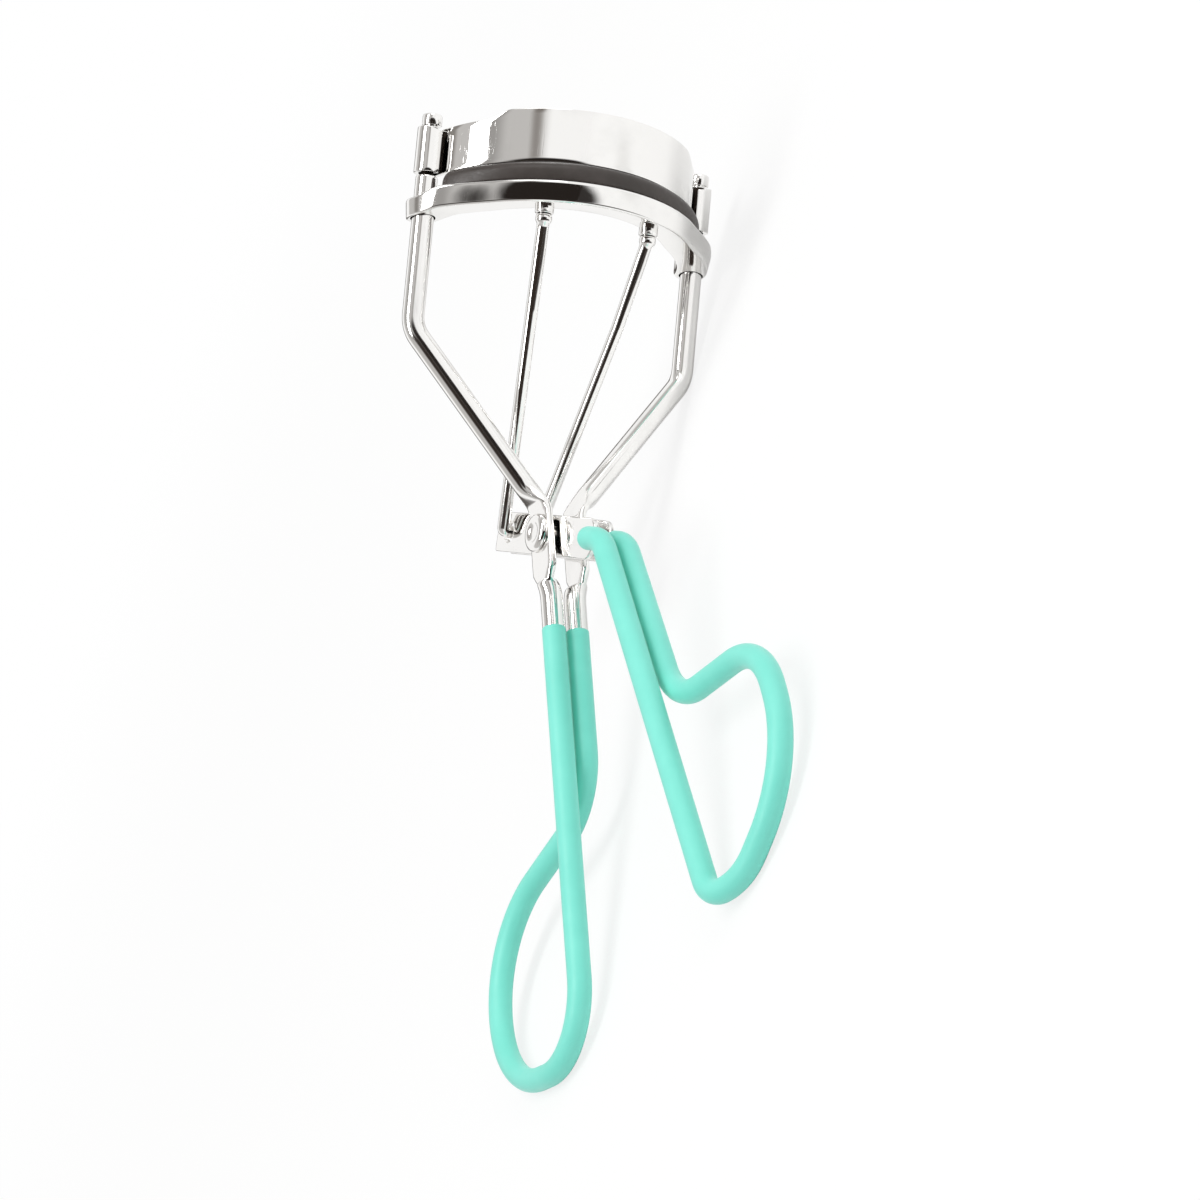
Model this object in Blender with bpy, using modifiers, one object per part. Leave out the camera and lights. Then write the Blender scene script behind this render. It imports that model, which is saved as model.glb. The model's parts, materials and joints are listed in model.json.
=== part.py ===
"""Eyelash curler: a bent wire frame with a thumb loop, a sliding lower jaw and a finger lever.

Lengths are in metres and +Z is up. The tool is drawn in its own axes under one empty, then laid on its
right side as it rests on a table: tool X runs along the pivot rivet, tool Y along the guide rods towards
the upper jaw, and tool Z from the back of the guide rods towards the bowed front of the jaws.
"""
import bpy
import bmesh
from math import asin, atan2, cos, hypot, pi, radians, sin, sqrt, tan
from mathutils import Matrix, Vector

MM = 0.001
FIT_GAP = 0.3 * MM

# Frame wire: two guide rods, a V down to the pivot, and a straight handle that leans forwards
WIRE_R = 1.25 * MM
GUIDE_X = 17.4 * MM
GUIDE_TOP_Y = 24.6 * MM
NECK_R = 0.7 * MM
NECK_SHOULDER_Y = 17.4 * MM
PEENED_HEAD_R = 1.12 * MM
PEENED_HEAD_H = 1.35 * MM
CORNER_BEND_R = 4.0 * MM
V_LEAN = radians(16.9)
PIVOT_DROP = 22.66 * MM
HANDLE_LEAN = radians(18.7)
TAB_X = 2.1 * MM
TAB_HALF_THICK = 0.5 * MM
TAB_HALF_WIDE = 2.15 * MM
TAB_TOP_U = -3.2 * MM
TAB_GRIP_U = 3.0 * MM
TAB_BOTTOM_U = 5.2 * MM
TAB_BLEND = 2.0 * MM
TAB_BEND_R = 3.0 * MM
HANDLE_X = 1.47 * MM
BARE_END_U = 10.8 * MM

# Soft coat on both handle loops, and the wire that runs on inside it
COAT_R = 1.32 * MM
COAT_WALL = 0.25 * MM
CORE_R = 0.8 * MM
COAT_SIDES = 12

# Thumb loop bends in mm: across, down the handle and forwards from the pivot, then the bend radius
THUMB_BENDS = [((-1.47, 59.8, 0.4), 7.5), ((0.0, 59.7, -20.8), 10.5), ((0.9, 39.6, -20.9), 14.0),
               ((1.47, 30.8, 0.0), 8.0)]

# Lever: two coined plates on the rivet, then two coated rods and the finger loop, in the same measures
ARM_TILT = radians(26.7)
PLATE_X = 0.95 * MM
PLATE_HALF_THICK = 0.35 * MM
PLATE_HALF_WIDE = 2.3 * MM
PLATE_TAIL = -12.9 * MM
PLATE_SHOULDER = 8.7 * MM
PLATE_END = 10.7 * MM
LEVER_BEND = 13.2 * MM
LEVER_BEND_R = 4.0 * MM
FINGER_BENDS = [((-1.47, 53.4, 27.8), 2.8), ((0.1, 53.2, 40.1), 10.1), ((0.9, 30.1, 40.0), 7.0),
                ((1.47, 27.5, 18.9), 5.0)]

# Pivot rivet
RIVET_R = 1.0 * MM
RIVET_HOLE_R = 1.3 * MM
RIVET_HEAD_R = 2.2 * MM
RIVET_HEAD_H = 0.75 * MM
RIVET_DIMPLE_R = 1.2 * MM
RIVET_DIMPLE = 0.4 * MM

# Jaws: both bow round one upright axis behind the guide rods, and rise towards the front
JAW_AXIS_Z = -5.4 * MM
JAW_CANT = radians(9.0)
BARREL_R = 1.25 * MM
JAW_R = hypot(GUIDE_X, JAW_AXIS_Z) - BARREL_R

# Upper jaw: one sheet whose ends are rolled into barrels; heights are those at the guide rods
SHEET = 0.6 * MM
BARREL_ROLL = radians(290.0)
BARREL_LOW_Y = NECK_SHOULDER_Y + FIT_GAP
BARREL_TOP_Y = GUIDE_TOP_Y - PEENED_HEAD_H - FIT_GAP
CREST_Y = 23.85 * MM
CREST_FROM = radians(42.0)
CREST_TO = radians(50.5)

# Lower jaw: a bowed bar with a groove for the pad and a bored boss at each end
BAR_R = 16.75 * MM
BAR_HALF_WIDE = 1.95 * MM
BAR_LOW_Y = 12.75 * MM
BAR_TOP_Y = 15.1 * MM
BAR_BEVEL = 0.65 * MM
BAR_END = radians(69.0)
GROOVE_HALF_WIDE = 0.95 * MM
GROOVE_FLOOR_Y = 14.0 * MM
BOSS_R = 2.05 * MM
BOSS_BORE_R = 1.56 * MM

# Rubber pad in the groove
PAD_ROOT_HALF = GROOVE_HALF_WIDE - FIT_GAP
PAD_CROWN_HALF = 1.4 * MM
PAD_TOP_Y = BARREL_LOW_Y - FIT_GAP
PAD_END = radians(65.0)
PAD_END_ROUND = 1.2 * MM

# Push rods: a ball in the lower jaw's underside, a kinked wire and a hook through the lever plate
ROD_R = 0.72 * MM
BALL_R = 0.9 * MM
BALL_X = 6.65 * MM
BALL_RING_R = 15.6 * MM
BALL_DROP = 0.7 * MM
ROD_KINK = Vector((5.5 * MM, 3.4 * MM, 5.6 * MM))
ROD_KINK_R = 6.0 * MM
ROD_FOOT_X = 2.45 * MM
HOOK_ARM = 9.9 * MM
HOOK_BEND_R = 1.1 * MM
HOOK_END_X = 0.4 * MM
HOOK_HOLE_R = 1.3 * MM

# Lying on the right side: the tool axes turned into the resting axes
LIE_TURN = radians(90.0)
LIE_PITCH = radians(11.24)
LIE_ROLL = radians(5.68)

SIDES = 16
X_AXIS = Vector((1.0, 0.0, 0.0))
Y_AXIS = Vector((0.0, 1.0, 0.0))
Z_AXIS = Vector((0.0, 0.0, 1.0))
DOWN_HANDLE = Vector((0.0, -cos(HANDLE_LEAN), sin(HANDLE_LEAN)))
FORWARDS = Vector((0.0, sin(HANDLE_LEAN), cos(HANDLE_LEAN)))
PIVOT = PIVOT_DROP * Vector((0.0, -cos(V_LEAN), sin(V_LEAN)))
ARM = sin(ARM_TILT) * DOWN_HANDLE + cos(ARM_TILT) * FORWARDS
HOOK = PIVOT - HOOK_ARM * ARM

# Each finish: colour, metallic and roughness
CHROME = ((0.86, 0.86, 0.85), 1.0, 0.08)
SOFT_COAT = ((0.27, 0.80, 0.68), 0.0, 0.55)
RUBBER = ((0.11, 0.085, 0.075), 0.0, 0.75)

for old in list(bpy.data.objects):
    bpy.data.objects.remove(old, do_unlink=True)


def new_collection(name):
    group = bpy.data.collections.new(name)
    bpy.context.scene.collection.children.link(group)
    return group


PARTS = new_collection("eyelash_curler")
CUTTERS = new_collection("cutters")


def add_empty(name, location=(0.0, 0.0, 0.0), parent=None):
    empty = bpy.data.objects.new(name, None)
    PARTS.objects.link(empty)
    empty.location = location
    empty.parent = parent
    return empty


def jaw_point(radius, angle, height):
    """A point on the jaws' bow, at a height given at the guide rods."""
    z = JAW_AXIS_Z + radius * cos(angle)
    return Vector((radius * sin(angle), height + z * tan(JAW_CANT), z))


def ball_point(side):
    """The centre of a push rod's ball, which hangs in a socket in the lower jaw's underside."""
    return jaw_point(BALL_RING_R, side * asin(BALL_X / BALL_RING_R), BAR_LOW_Y) - BALL_DROP * Y_AXIS


TOOL = add_empty("tool_axes")
LEVER_AXIS = add_empty("lever_axis", PIVOT, TOOL)
JAW_SLIDE = add_empty("jaw_slide", (0.0, BAR_LOW_Y, 0.0), TOOL)
ROD_SWING = add_empty("rod_swing", (0.0, *ball_point(1.0).yz), TOOL)


def add_material(name, finish):
    colour, metallic, roughness = finish
    material = bpy.data.materials.new(name)
    material.use_nodes = True
    shader = material.node_tree.nodes["Principled BSDF"]
    shader.inputs["Base Color"].default_value = (*colour, 1.0)
    shader.inputs["Metallic"].default_value = metallic
    shader.inputs["Roughness"].default_value = roughness
    return material


def add_part(name, data, finish, parent):
    """A named part; its data is drawn in tool axes and then measured from its parent empty."""
    part = bpy.data.objects.new(name, data)
    PARTS.objects.link(part)
    part.parent = parent
    data.materials.append(add_material(name + "_finish", finish))
    return part


def mesh_from(bm, name, parent):
    bmesh.ops.recalc_face_normals(bm, faces=bm.faces)
    bmesh.ops.translate(bm, vec=-parent.location, verts=bm.verts)
    mesh = bpy.data.meshes.new(name)
    bm.to_mesh(mesh)
    bm.free()
    mesh.shade_smooth()
    mesh.set_sharp_from_angle(angle=radians(35.0))
    return mesh


def loft(name, rings, parent):
    """One closed body through rings of points, with flat ends."""
    bm = bmesh.new()
    loops = [[bm.verts.new(point) for point in ring] for ring in rings]
    count = len(rings[0])
    for here, there in zip(loops, loops[1:]):
        for i in range(count):
            j = (i + 1) % count
            bm.faces.new((here[i], here[j], there[j], there[i]))
    bm.faces.new(loops[0][::-1])
    bm.faces.new(loops[-1])
    return mesh_from(bm, name, parent)


def coined_ring(centre, tangent, half_thick, half_wide):
    """A wire's section, flattened to half_thick and spread to half_wide; equal values give a circle."""
    wide = (Z_AXIS - Z_AXIS.dot(tangent) * tangent).normalized()
    thick = tangent.cross(wide)
    ring = []
    for i in range(SIDES):
        angle = 2.0 * pi * i / SIDES
        reach = max(-half_thick, min(half_thick, half_wide * cos(angle)))
        ring.append(centre + reach * thick + half_wide * sin(angle) * wide)
    return ring


def smooth_step(value, start, end):
    t = max(0.0, min(1.0, (value - start) / (end - start)))
    return t * t * (3.0 - 2.0 * t)


def mix(a, b, t):
    return a + (b - a) * t


def bent(corners, radii, step=radians(11.0)):
    """A wire's centre line: straight runs between corners, each inner corner rounded to its radius."""
    points = [corners[0]]
    for before, corner, after, radius in zip(corners, corners[1:], corners[2:], radii):
        back = (before - corner).normalized()
        on = (after - corner).normalized()
        half_turn = 0.5 * back.angle(on)
        centre = corner + (back + on).normalized() * radius / sin(half_turn)
        start = corner + back * radius / tan(half_turn) - centre
        turn = start.rotation_difference(corner + on * radius / tan(half_turn) - centre)
        steps = max(2, round(turn.angle / step))
        for i in range(steps + 1):
            part_turn = turn.copy()
            part_turn.angle = turn.angle * i / steps
            points.append(centre + part_turn @ start)
    points.append(corners[-1])
    return points


def tangents_of(points):
    ends = [points[0]] + points + [points[-1]]
    return [(after - before).normalized() for before, after in zip(ends, ends[2:])]


def handle_point(across, down, forwards):
    return PIVOT + across * X_AXIS + down * DOWN_HANDLE + forwards * FORWARDS


def cut(target, cutter, operation="DIFFERENCE"):
    CUTTERS.objects.link(cutter)
    cutter.hide_render = True
    cutter.display_type = "WIRE"
    modifier = target.modifiers.new(cutter.name, "BOOLEAN")
    modifier.operation = operation
    modifier.object = cutter


def cylinder(name, radius, start, end, parent):
    bm = bmesh.new()
    bmesh.ops.create_cone(bm, cap_ends=True, segments=24, radius1=radius, radius2=radius,
                          depth=(end - start).length)
    turn = Z_AXIS.rotation_difference((end - start).normalized()).to_matrix().to_4x4()
    bmesh.ops.transform(bm, matrix=Matrix.Translation(0.5 * (start + end)) @ turn, verts=bm.verts)
    solid = bpy.data.objects.new(name, mesh_from(bm, name, parent))
    solid.parent = parent
    return solid


def ball(name, radius, centre, parent):
    bm = bmesh.new()
    bmesh.ops.create_uvsphere(bm, u_segments=16, v_segments=10, radius=radius)
    bmesh.ops.translate(bm, vec=centre, verts=bm.verts)
    solid = bpy.data.objects.new(name, mesh_from(bm, name, parent))
    solid.parent = parent
    return solid


def frame_arm(name, side):
    """One guide rod, its leg of the V, the coined pivot tab and the bare wire above the coat."""
    tip = Vector((side * GUIDE_X, GUIDE_TOP_Y, 0.0))
    rings = []
    for depth, radius in [(0.0, 0.6 * PEENED_HEAD_R), (0.12 * PEENED_HEAD_H, 0.86 * PEENED_HEAD_R),
                          (0.4 * PEENED_HEAD_H, PEENED_HEAD_R), (PEENED_HEAD_H, PEENED_HEAD_R),
                          (PEENED_HEAD_H, NECK_R), (GUIDE_TOP_Y - NECK_SHOULDER_Y, NECK_R)]:
        rings.append(coined_ring(tip - depth * Y_AXIS, -Y_AXIS, radius, radius))
    tab_end = handle_point(side * TAB_X, TAB_BOTTOM_U, 0.0)
    round_end = handle_point(side * HANDLE_X, TAB_BOTTOM_U + TAB_BLEND, 0.0)
    path = bent([Vector((side * GUIDE_X, NECK_SHOULDER_Y, 0.0)), Vector((side * GUIDE_X, 0.0, 0.0)),
                 handle_point(side * TAB_X, TAB_TOP_U, 0.0), tab_end], [CORNER_BEND_R, TAB_BEND_R])
    path.insert(-1, handle_point(side * TAB_X, TAB_GRIP_U, 0.0))
    path += [tab_end.lerp(round_end, t) for t in (0.2, 0.4, 0.6, 0.8, 1.0)]
    path.append(handle_point(side * HANDLE_X, BARE_END_U, 0.0))
    for point, tangent in zip(path, tangents_of(path)):
        below_pivot = (point - PIVOT).dot(DOWN_HANDLE)
        flat = smooth_step(below_pivot, TAB_TOP_U - TAB_BLEND, TAB_TOP_U)
        flat *= 1.0 - smooth_step(below_pivot, TAB_BOTTOM_U, TAB_BOTTOM_U + TAB_BLEND)
        rings.append(coined_ring(point, tangent, mix(WIRE_R, TAB_HALF_THICK, flat),
                                 mix(WIRE_R, TAB_HALF_WIDE, flat)))
    arm = add_part(name, loft(name, rings, TOOL), CHROME, TOOL)
    reach = side * 2.0 * TAB_X * X_AXIS
    cut(arm, cylinder(name + "_rivet_hole", RIVET_HOLE_R, PIVOT, PIVOT + reach, TOOL))


def lever_plate(name, side):
    """The coined end of the lever wire: a flat plate with its rivet hole and the push rod's hole."""
    stations = [(PLATE_TAIL, 1.0), (PLATE_SHOULDER, 1.0)]
    for t in (0.35, 0.6, 0.8, 0.92, 1.0):
        stations.append((mix(PLATE_SHOULDER, PLATE_END, t), sqrt(1.0 - t * t)))
    rings = []
    for along, flat in stations:
        centre = PIVOT + along * ARM + side * mix(HANDLE_X, PLATE_X, flat) * X_AXIS
        rings.append(coined_ring(centre, ARM, mix(CORE_R, PLATE_HALF_THICK, flat),
                                 mix(CORE_R, PLATE_HALF_WIDE, flat)))
    plate = add_part(name, loft(name, rings, LEVER_AXIS), CHROME, LEVER_AXIS)
    reach = side * 2.0 * PLATE_X * X_AXIS
    cut(plate, cylinder(name + "_rivet_hole", RIVET_HOLE_R, PIVOT, PIVOT + reach, LEVER_AXIS))
    cut(plate, cylinder(name + "_hook_hole", HOOK_HOLE_R, HOOK, HOOK + reach, LEVER_AXIS))


def wire_curve(name, points, radius, sides, parent):
    """A round wire along points; a point can bring its own radius as a fourth value."""
    curve = bpy.data.curves.new(name, "CURVE")
    curve.dimensions = "3D"
    curve.bevel_depth = radius
    curve.bevel_resolution = sides // 2 - 2
    curve.use_fill_caps = True
    spline = curve.splines.new("POLY")
    spline.points.add(len(points) - 1)
    for spot, point in zip(spline.points, points):
        spot.co = (*(Vector(point[:3]) - parent.location), 1.0)
        spot.radius = point[3] / radius if len(point) > 3 else 1.0
    return curve


def coated_wire(core_name, coat_name, points, parent):
    """A loop of wire and the soft coat round it; the coat is a tube that is open at both ends."""
    add_part(core_name, wire_curve(core_name, points, CORE_R, 6, parent), CHROME, parent)
    tube = wire_curve(coat_name + "_path", points, COAT_R, COAT_SIDES, parent)
    tube.use_fill_caps = False
    shell = bpy.data.objects.new(coat_name + "_path", tube)
    CUTTERS.objects.link(shell)
    bpy.context.view_layer.update()
    mesh = bpy.data.meshes.new_from_object(shell.evaluated_get(bpy.context.evaluated_depsgraph_get()))
    bpy.data.objects.remove(shell, do_unlink=True)
    mesh.materials.clear()
    mesh.shade_smooth()
    coat = add_part(coat_name, mesh, SOFT_COAT, parent)
    wall = coat.modifiers.new("wall", "SOLIDIFY")
    wall.thickness = COAT_WALL
    wall.offset = -1.0


def bend_corners(bends):
    return [handle_point(*(value * MM for value in spot)) for spot, _ in bends], [r * MM for _, r in bends]


def thumb_handle():
    corners, radii = bend_corners(THUMB_BENDS)
    mouth = BARE_END_U + FIT_GAP
    ends = [handle_point(side * HANDLE_X, mouth, 0.0) for side in (-1.0, 1.0)]
    coated_wire("thumb_loop_wire", "thumb_grip", bent([ends[0], *corners, ends[1]], radii), TOOL)


def finger_handle():
    corners, radii = bend_corners(FINGER_BENDS)
    starts = [PIVOT + (PLATE_END + FIT_GAP) * ARM + side * HANDLE_X * X_AXIS for side in (-1.0, 1.0)]
    knees = [PIVOT + LEVER_BEND * ARM + side * HANDLE_X * X_AXIS for side in (-1.0, 1.0)]
    path = bent([starts[0], knees[0], *corners, knees[1], starts[1]], [LEVER_BEND_R, *radii, LEVER_BEND_R])
    coated_wire("finger_loop_wire", "finger_grip", path, LEVER_AXIS)


def pivot_rivet():
    """A spool: shank and two round heads, each with a shallow dimple, turned about the rivet's axis."""
    inner = TAB_X + TAB_HALF_THICK + FIT_GAP
    outer = inner + RIVET_HEAD_H
    profile = [(0.0, outer - RIVET_DIMPLE), (0.6 * RIVET_DIMPLE_R, outer - RIVET_DIMPLE),
               (RIVET_DIMPLE_R, outer), (0.86 * RIVET_HEAD_R, outer),
               (RIVET_HEAD_R, outer - 0.3 * RIVET_HEAD_H), (RIVET_HEAD_R, inner), (RIVET_R, inner)]
    profile += [(radius, -x) for radius, x in reversed(profile)]
    mesh = bpy.data.meshes.new("pivot_rivet")
    links = [(i, i + 1) for i in range(len(profile) - 1)]
    mesh.from_pydata([(radius, 0.0, x) for radius, x in profile], links, [])
    rivet = add_part("pivot_rivet", mesh, CHROME, TOOL)
    rivet.location = PIVOT
    rivet.rotation_euler = (0.0, radians(90.0), 0.0)
    turned = rivet.modifiers.new("turned", "SCREW")
    turned.steps = 24
    turned.render_steps = 24
    turned.use_merge_vertices = True
    turned.merge_threshold = 0.01 * MM


def upper_jaw():
    """One bowed sheet with a raised crest, its ends rolled round the necks of the guide rods."""
    roll_from = atan2(GUIDE_X, -JAW_AXIS_Z)
    half = []
    for i in range(31):
        angle = roll_from * i / 30.0
        height = mix(CREST_Y, BARREL_TOP_Y, smooth_step(angle, CREST_FROM, CREST_TO))
        half.append((jaw_point(JAW_R, angle, BARREL_LOW_Y), jaw_point(JAW_R, angle, height)))
    for i in range(1, 17):
        turn = 1.5 * pi - roll_from + BARREL_ROLL * i / 16.0
        around = Vector((GUIDE_X + BARREL_R * cos(turn), 0.0, BARREL_R * sin(turn)))
        half.append((around + BARREL_LOW_Y * Y_AXIS, around + BARREL_TOP_Y * Y_AXIS))
    mirrored = [[Vector((-spot.x, spot.y, spot.z)) for spot in column] for column in half[:0:-1]]
    bm = bmesh.new()
    columns = [[bm.verts.new(low.lerp(top, row / 2.0)) for row in range(3)] for low, top in mirrored + half]
    for here, there in zip(columns, columns[1:]):
        for row in range(2):
            bm.faces.new((here[row], there[row], there[row + 1], here[row + 1]))
    jaw = add_part("upper_jaw", mesh_from(bm, "upper_jaw", TOOL), CHROME, TOOL)
    sheet = jaw.modifiers.new("sheet", "SOLIDIFY")
    sheet.thickness = SHEET
    sheet.offset = 0.0


def bowed_bar(name, section, end, steps, round_end=0.0):
    """A bar with a (radius, height) section along the jaws' bow; its ends can be rounded in plan."""
    middle = sum(radius for radius, _ in section) / len(section)
    base = min(height for _, height in section)
    rings = []
    for i in range(steps + 1):
        spread = sin(0.5 * pi * mix(-1.0, 1.0, i / steps)) if round_end else mix(-1.0, 1.0, i / steps)
        angle = end * spread
        inset = max(0.0, 1.0 - (end - abs(angle)) * JAW_R / round_end) if round_end else 0.0
        scale = 0.3 + 0.7 * sqrt(1.0 - inset * inset)
        rings.append([jaw_point(mix(middle, radius, scale), angle, mix(base, height, 0.5 + 0.5 * scale))
                      for radius, height in section])
    return loft(name, rings, JAW_SLIDE)


def lower_jaw():
    """A cast bowed bar with a groove for the pad, bored end bosses and sockets for the push rods."""
    back, front = BAR_R - BAR_HALF_WIDE, BAR_R + BAR_HALF_WIDE
    lips = (JAW_R - GROOVE_HALF_WIDE, JAW_R + GROOVE_HALF_WIDE)
    section = [(back, BAR_LOW_Y), (front - BAR_BEVEL, BAR_LOW_Y),
               (front - 0.3 * BAR_BEVEL, BAR_LOW_Y + 0.3 * BAR_BEVEL), (front, BAR_LOW_Y + BAR_BEVEL),
               (front, BAR_TOP_Y), (lips[1], BAR_TOP_Y), (lips[1], GROOVE_FLOOR_Y), (lips[0], GROOVE_FLOOR_Y),
               (lips[0], BAR_TOP_Y), (back, BAR_TOP_Y)]
    jaw = add_part("lower_jaw", bowed_bar("lower_jaw", section, BAR_END, 32), CHROME, JAW_SLIDE)
    for side, word in ((-1.0, "left"), (1.0, "right")):
        low = Vector((side * GUIDE_X, BAR_LOW_Y, 0.0))
        top = Vector((side * GUIDE_X, BAR_TOP_Y, 0.0))
        cut(jaw, cylinder(word + "_boss", BOSS_R, low, top, JAW_SLIDE), "UNION")
        cut(jaw, cylinder(word + "_guide_bore", BOSS_BORE_R, low - 0.002 * Y_AXIS, top + 0.002 * Y_AXIS,
                          JAW_SLIDE))
        cut(jaw, ball(word + "_ball_socket", BALL_R + FIT_GAP, ball_point(side), JAW_SLIDE))


def lash_pad():
    """A rubber strip with a root in the groove and a wider rounded crown under the upper jaw's edge."""
    root, seat = GROOVE_FLOOR_Y + FIT_GAP, BAR_TOP_Y + FIT_GAP
    section = [(JAW_R - PAD_ROOT_HALF, root), (JAW_R + PAD_ROOT_HALF, root), (JAW_R + PAD_ROOT_HALF, seat),
               (JAW_R + PAD_CROWN_HALF, seat)]
    shoulder = mix(seat, PAD_TOP_Y, 0.5)
    for i in range(7):
        angle = pi * i / 6.0
        section.append((JAW_R + PAD_CROWN_HALF * cos(angle), shoulder + (PAD_TOP_Y - shoulder) * sin(angle)))
    section += [(JAW_R - PAD_CROWN_HALF, seat), (JAW_R - PAD_ROOT_HALF, seat)]
    add_part("lash_pad", bowed_bar("lash_pad", section, PAD_END, 36, PAD_END_ROUND), RUBBER, JAW_SLIDE)


def push_rod(name, side):
    """A wire with a ball at its top, a slight kink, and a foot hooked inwards through the lever plate."""
    centre = ball_point(1.0)
    foot = Vector((ROD_FOOT_X, HOOK.y, HOOK.z))
    toe = Vector((HOOK_END_X, HOOK.y, HOOK.z))
    wire = bent([centre, ROD_KINK, foot, toe], [ROD_KINK_R, HOOK_BEND_R], radians(15.0))
    down = (wire[1] - centre).normalized()
    neck = pi - asin(ROD_R / BALL_R)
    points = []
    for i in range(8):
        angle = mix(radians(22.0), neck, i / 7.0)
        points.append((*(centre - BALL_R * cos(angle) * down), BALL_R * sin(angle)))
    points += [(*point, ROD_R) for point in wire[1:]]
    points = [(side * x, y, z, radius) for x, y, z, radius in points]
    add_part(name, wire_curve(name, points, ROD_R, 12, ROD_SWING), CHROME, ROD_SWING)


def lay_on_side():
    """Turn the tool onto its right side and stand its box on the floor, centred on the origin."""
    lie = Matrix.Rotation(LIE_ROLL, 4, "Y") @ Matrix.Rotation(LIE_PITCH, 4, "X")
    lie = lie @ Matrix.Rotation(LIE_TURN, 4, "Y")
    TOOL.matrix_world = lie
    bpy.context.view_layer.update()
    graph = bpy.context.evaluated_depsgraph_get()
    low, high = Vector((1e9,) * 3), Vector((-1e9,) * 3)
    for part in PARTS.objects:
        if part.type == "EMPTY":
            continue
        solid = part.evaluated_get(graph)
        for vertex in solid.to_mesh().vertices:
            spot = part.matrix_world @ vertex.co
            low = Vector(map(min, low, spot))
            high = Vector(map(max, high, spot))
        solid.to_mesh_clear()
    TOOL.matrix_world = Matrix.Translation((-0.5 * (low.x + high.x), -0.5 * (low.y + high.y), -low.z)) @ lie
    bpy.context.view_layer.update()


def main():
    for side, word in ((-1.0, "left"), (1.0, "right")):
        frame_arm(word + "_frame_arm", side)
        lever_plate(word + "_lever_plate", side)
        push_rod(word + "_push_rod", side)
    thumb_handle()
    finger_handle()
    pivot_rivet()
    upper_jaw()
    lower_jaw()
    lash_pad()
    lay_on_side()


main()
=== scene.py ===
"""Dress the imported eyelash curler: finished metal, coat and rubber pieces, a pale floor, light and a camera.

Pieces are modelled in the tool's own axes, in metres: X runs along the rivet, Y along the guide rods
towards the upper jaw and Z towards the bowed front of the jaws. Each is then laid where the frame lies.
"""

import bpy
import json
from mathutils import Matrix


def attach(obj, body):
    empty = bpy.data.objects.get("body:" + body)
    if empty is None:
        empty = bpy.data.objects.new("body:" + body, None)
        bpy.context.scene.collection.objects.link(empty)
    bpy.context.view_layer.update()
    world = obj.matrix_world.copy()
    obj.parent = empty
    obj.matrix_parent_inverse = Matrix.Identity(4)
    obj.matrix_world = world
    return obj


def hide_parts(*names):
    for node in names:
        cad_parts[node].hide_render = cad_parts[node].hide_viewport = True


bl_info = {
    "name": "Eyelash Curler",
    "version": (1, 0, 0),
    "blender": (4, 5, 0),
    "location": "3D View > Sidebar > Curler",
    "description": "Models and finishes an eyelash curler round its packed frame",
    "category": "Add Mesh",
}

import json
from math import asin, atan2, copysign, cos, hypot, pi, radians, sin, sqrt, tan

import bmesh
import bpy
from bpy.props import FloatProperty, FloatVectorProperty, IntProperty, PointerProperty
from mathutils import Matrix, Vector

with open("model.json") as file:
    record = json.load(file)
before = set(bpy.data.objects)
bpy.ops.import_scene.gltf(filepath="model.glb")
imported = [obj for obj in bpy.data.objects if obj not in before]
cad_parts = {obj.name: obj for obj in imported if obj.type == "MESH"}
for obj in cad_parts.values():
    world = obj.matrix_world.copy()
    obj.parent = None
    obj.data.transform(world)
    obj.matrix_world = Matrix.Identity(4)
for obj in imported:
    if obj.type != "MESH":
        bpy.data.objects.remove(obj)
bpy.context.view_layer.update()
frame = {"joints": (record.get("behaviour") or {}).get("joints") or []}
JOINTS = {joint["name"]: joint for joint in frame["joints"]}
MM = 0.001
X_AXIS, Y_AXIS, Z_AXIS = Vector((1, 0, 0)), Vector((0, 1, 0)), Vector((0, 0, 1))
LEFT_RIGHT = ((-1.0, "left"), (1.0, "right"))

ROUND = 2.0  # squareness of a round section
STEEP = 0.9  # how much a line may start along Z before its circles are set out from X
SAME_LEVEL = 1e-6  # most that the two ends of a level edge differ by
BALL_DROP = 1.25 * MM  # from the lower jaw's underside to a ball's centre
ARM_IN_COAT = 3.0 * MM  # how far the bare arms run on inside the thumb coat
PAD_END = radians(66.5)  # bearing of the pad's ends on the bow
RELIEF_DEPTH = 0.05 * MM  # height of the finishes' bump
STAINED = 0.93  # share of the chrome's colour that a smudge leaves
RECESS_DULL = 0.45  # roughness added inside the barrels


def length(name, description, default_mm):
    """A size that the sidebar shows as a length."""
    return FloatProperty(name=name, description=description, default=default_mm * MM, min=0.0,
                         precision=5, unit="LENGTH")


def signed_length(name, description, default_mm):
    """A length that may also run the other way."""
    return FloatProperty(name=name, description=description, default=default_mm * MM, precision=5,
                         unit="LENGTH")


def turn(name, description, default_degrees):
    return FloatProperty(name=name, description=description, default=radians(default_degrees),
                         subtype="ANGLE", unit="ROTATION")


def colour(name, description, default):
    return FloatVectorProperty(name=name, description=description, default=default, size=3, min=0.0,
                               max=1.0, subtype="COLOR")


def share(name, description, default):
    return FloatProperty(name=name, description=description, default=default, min=0.0, max=1.0,
                         subtype="FACTOR")


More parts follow.
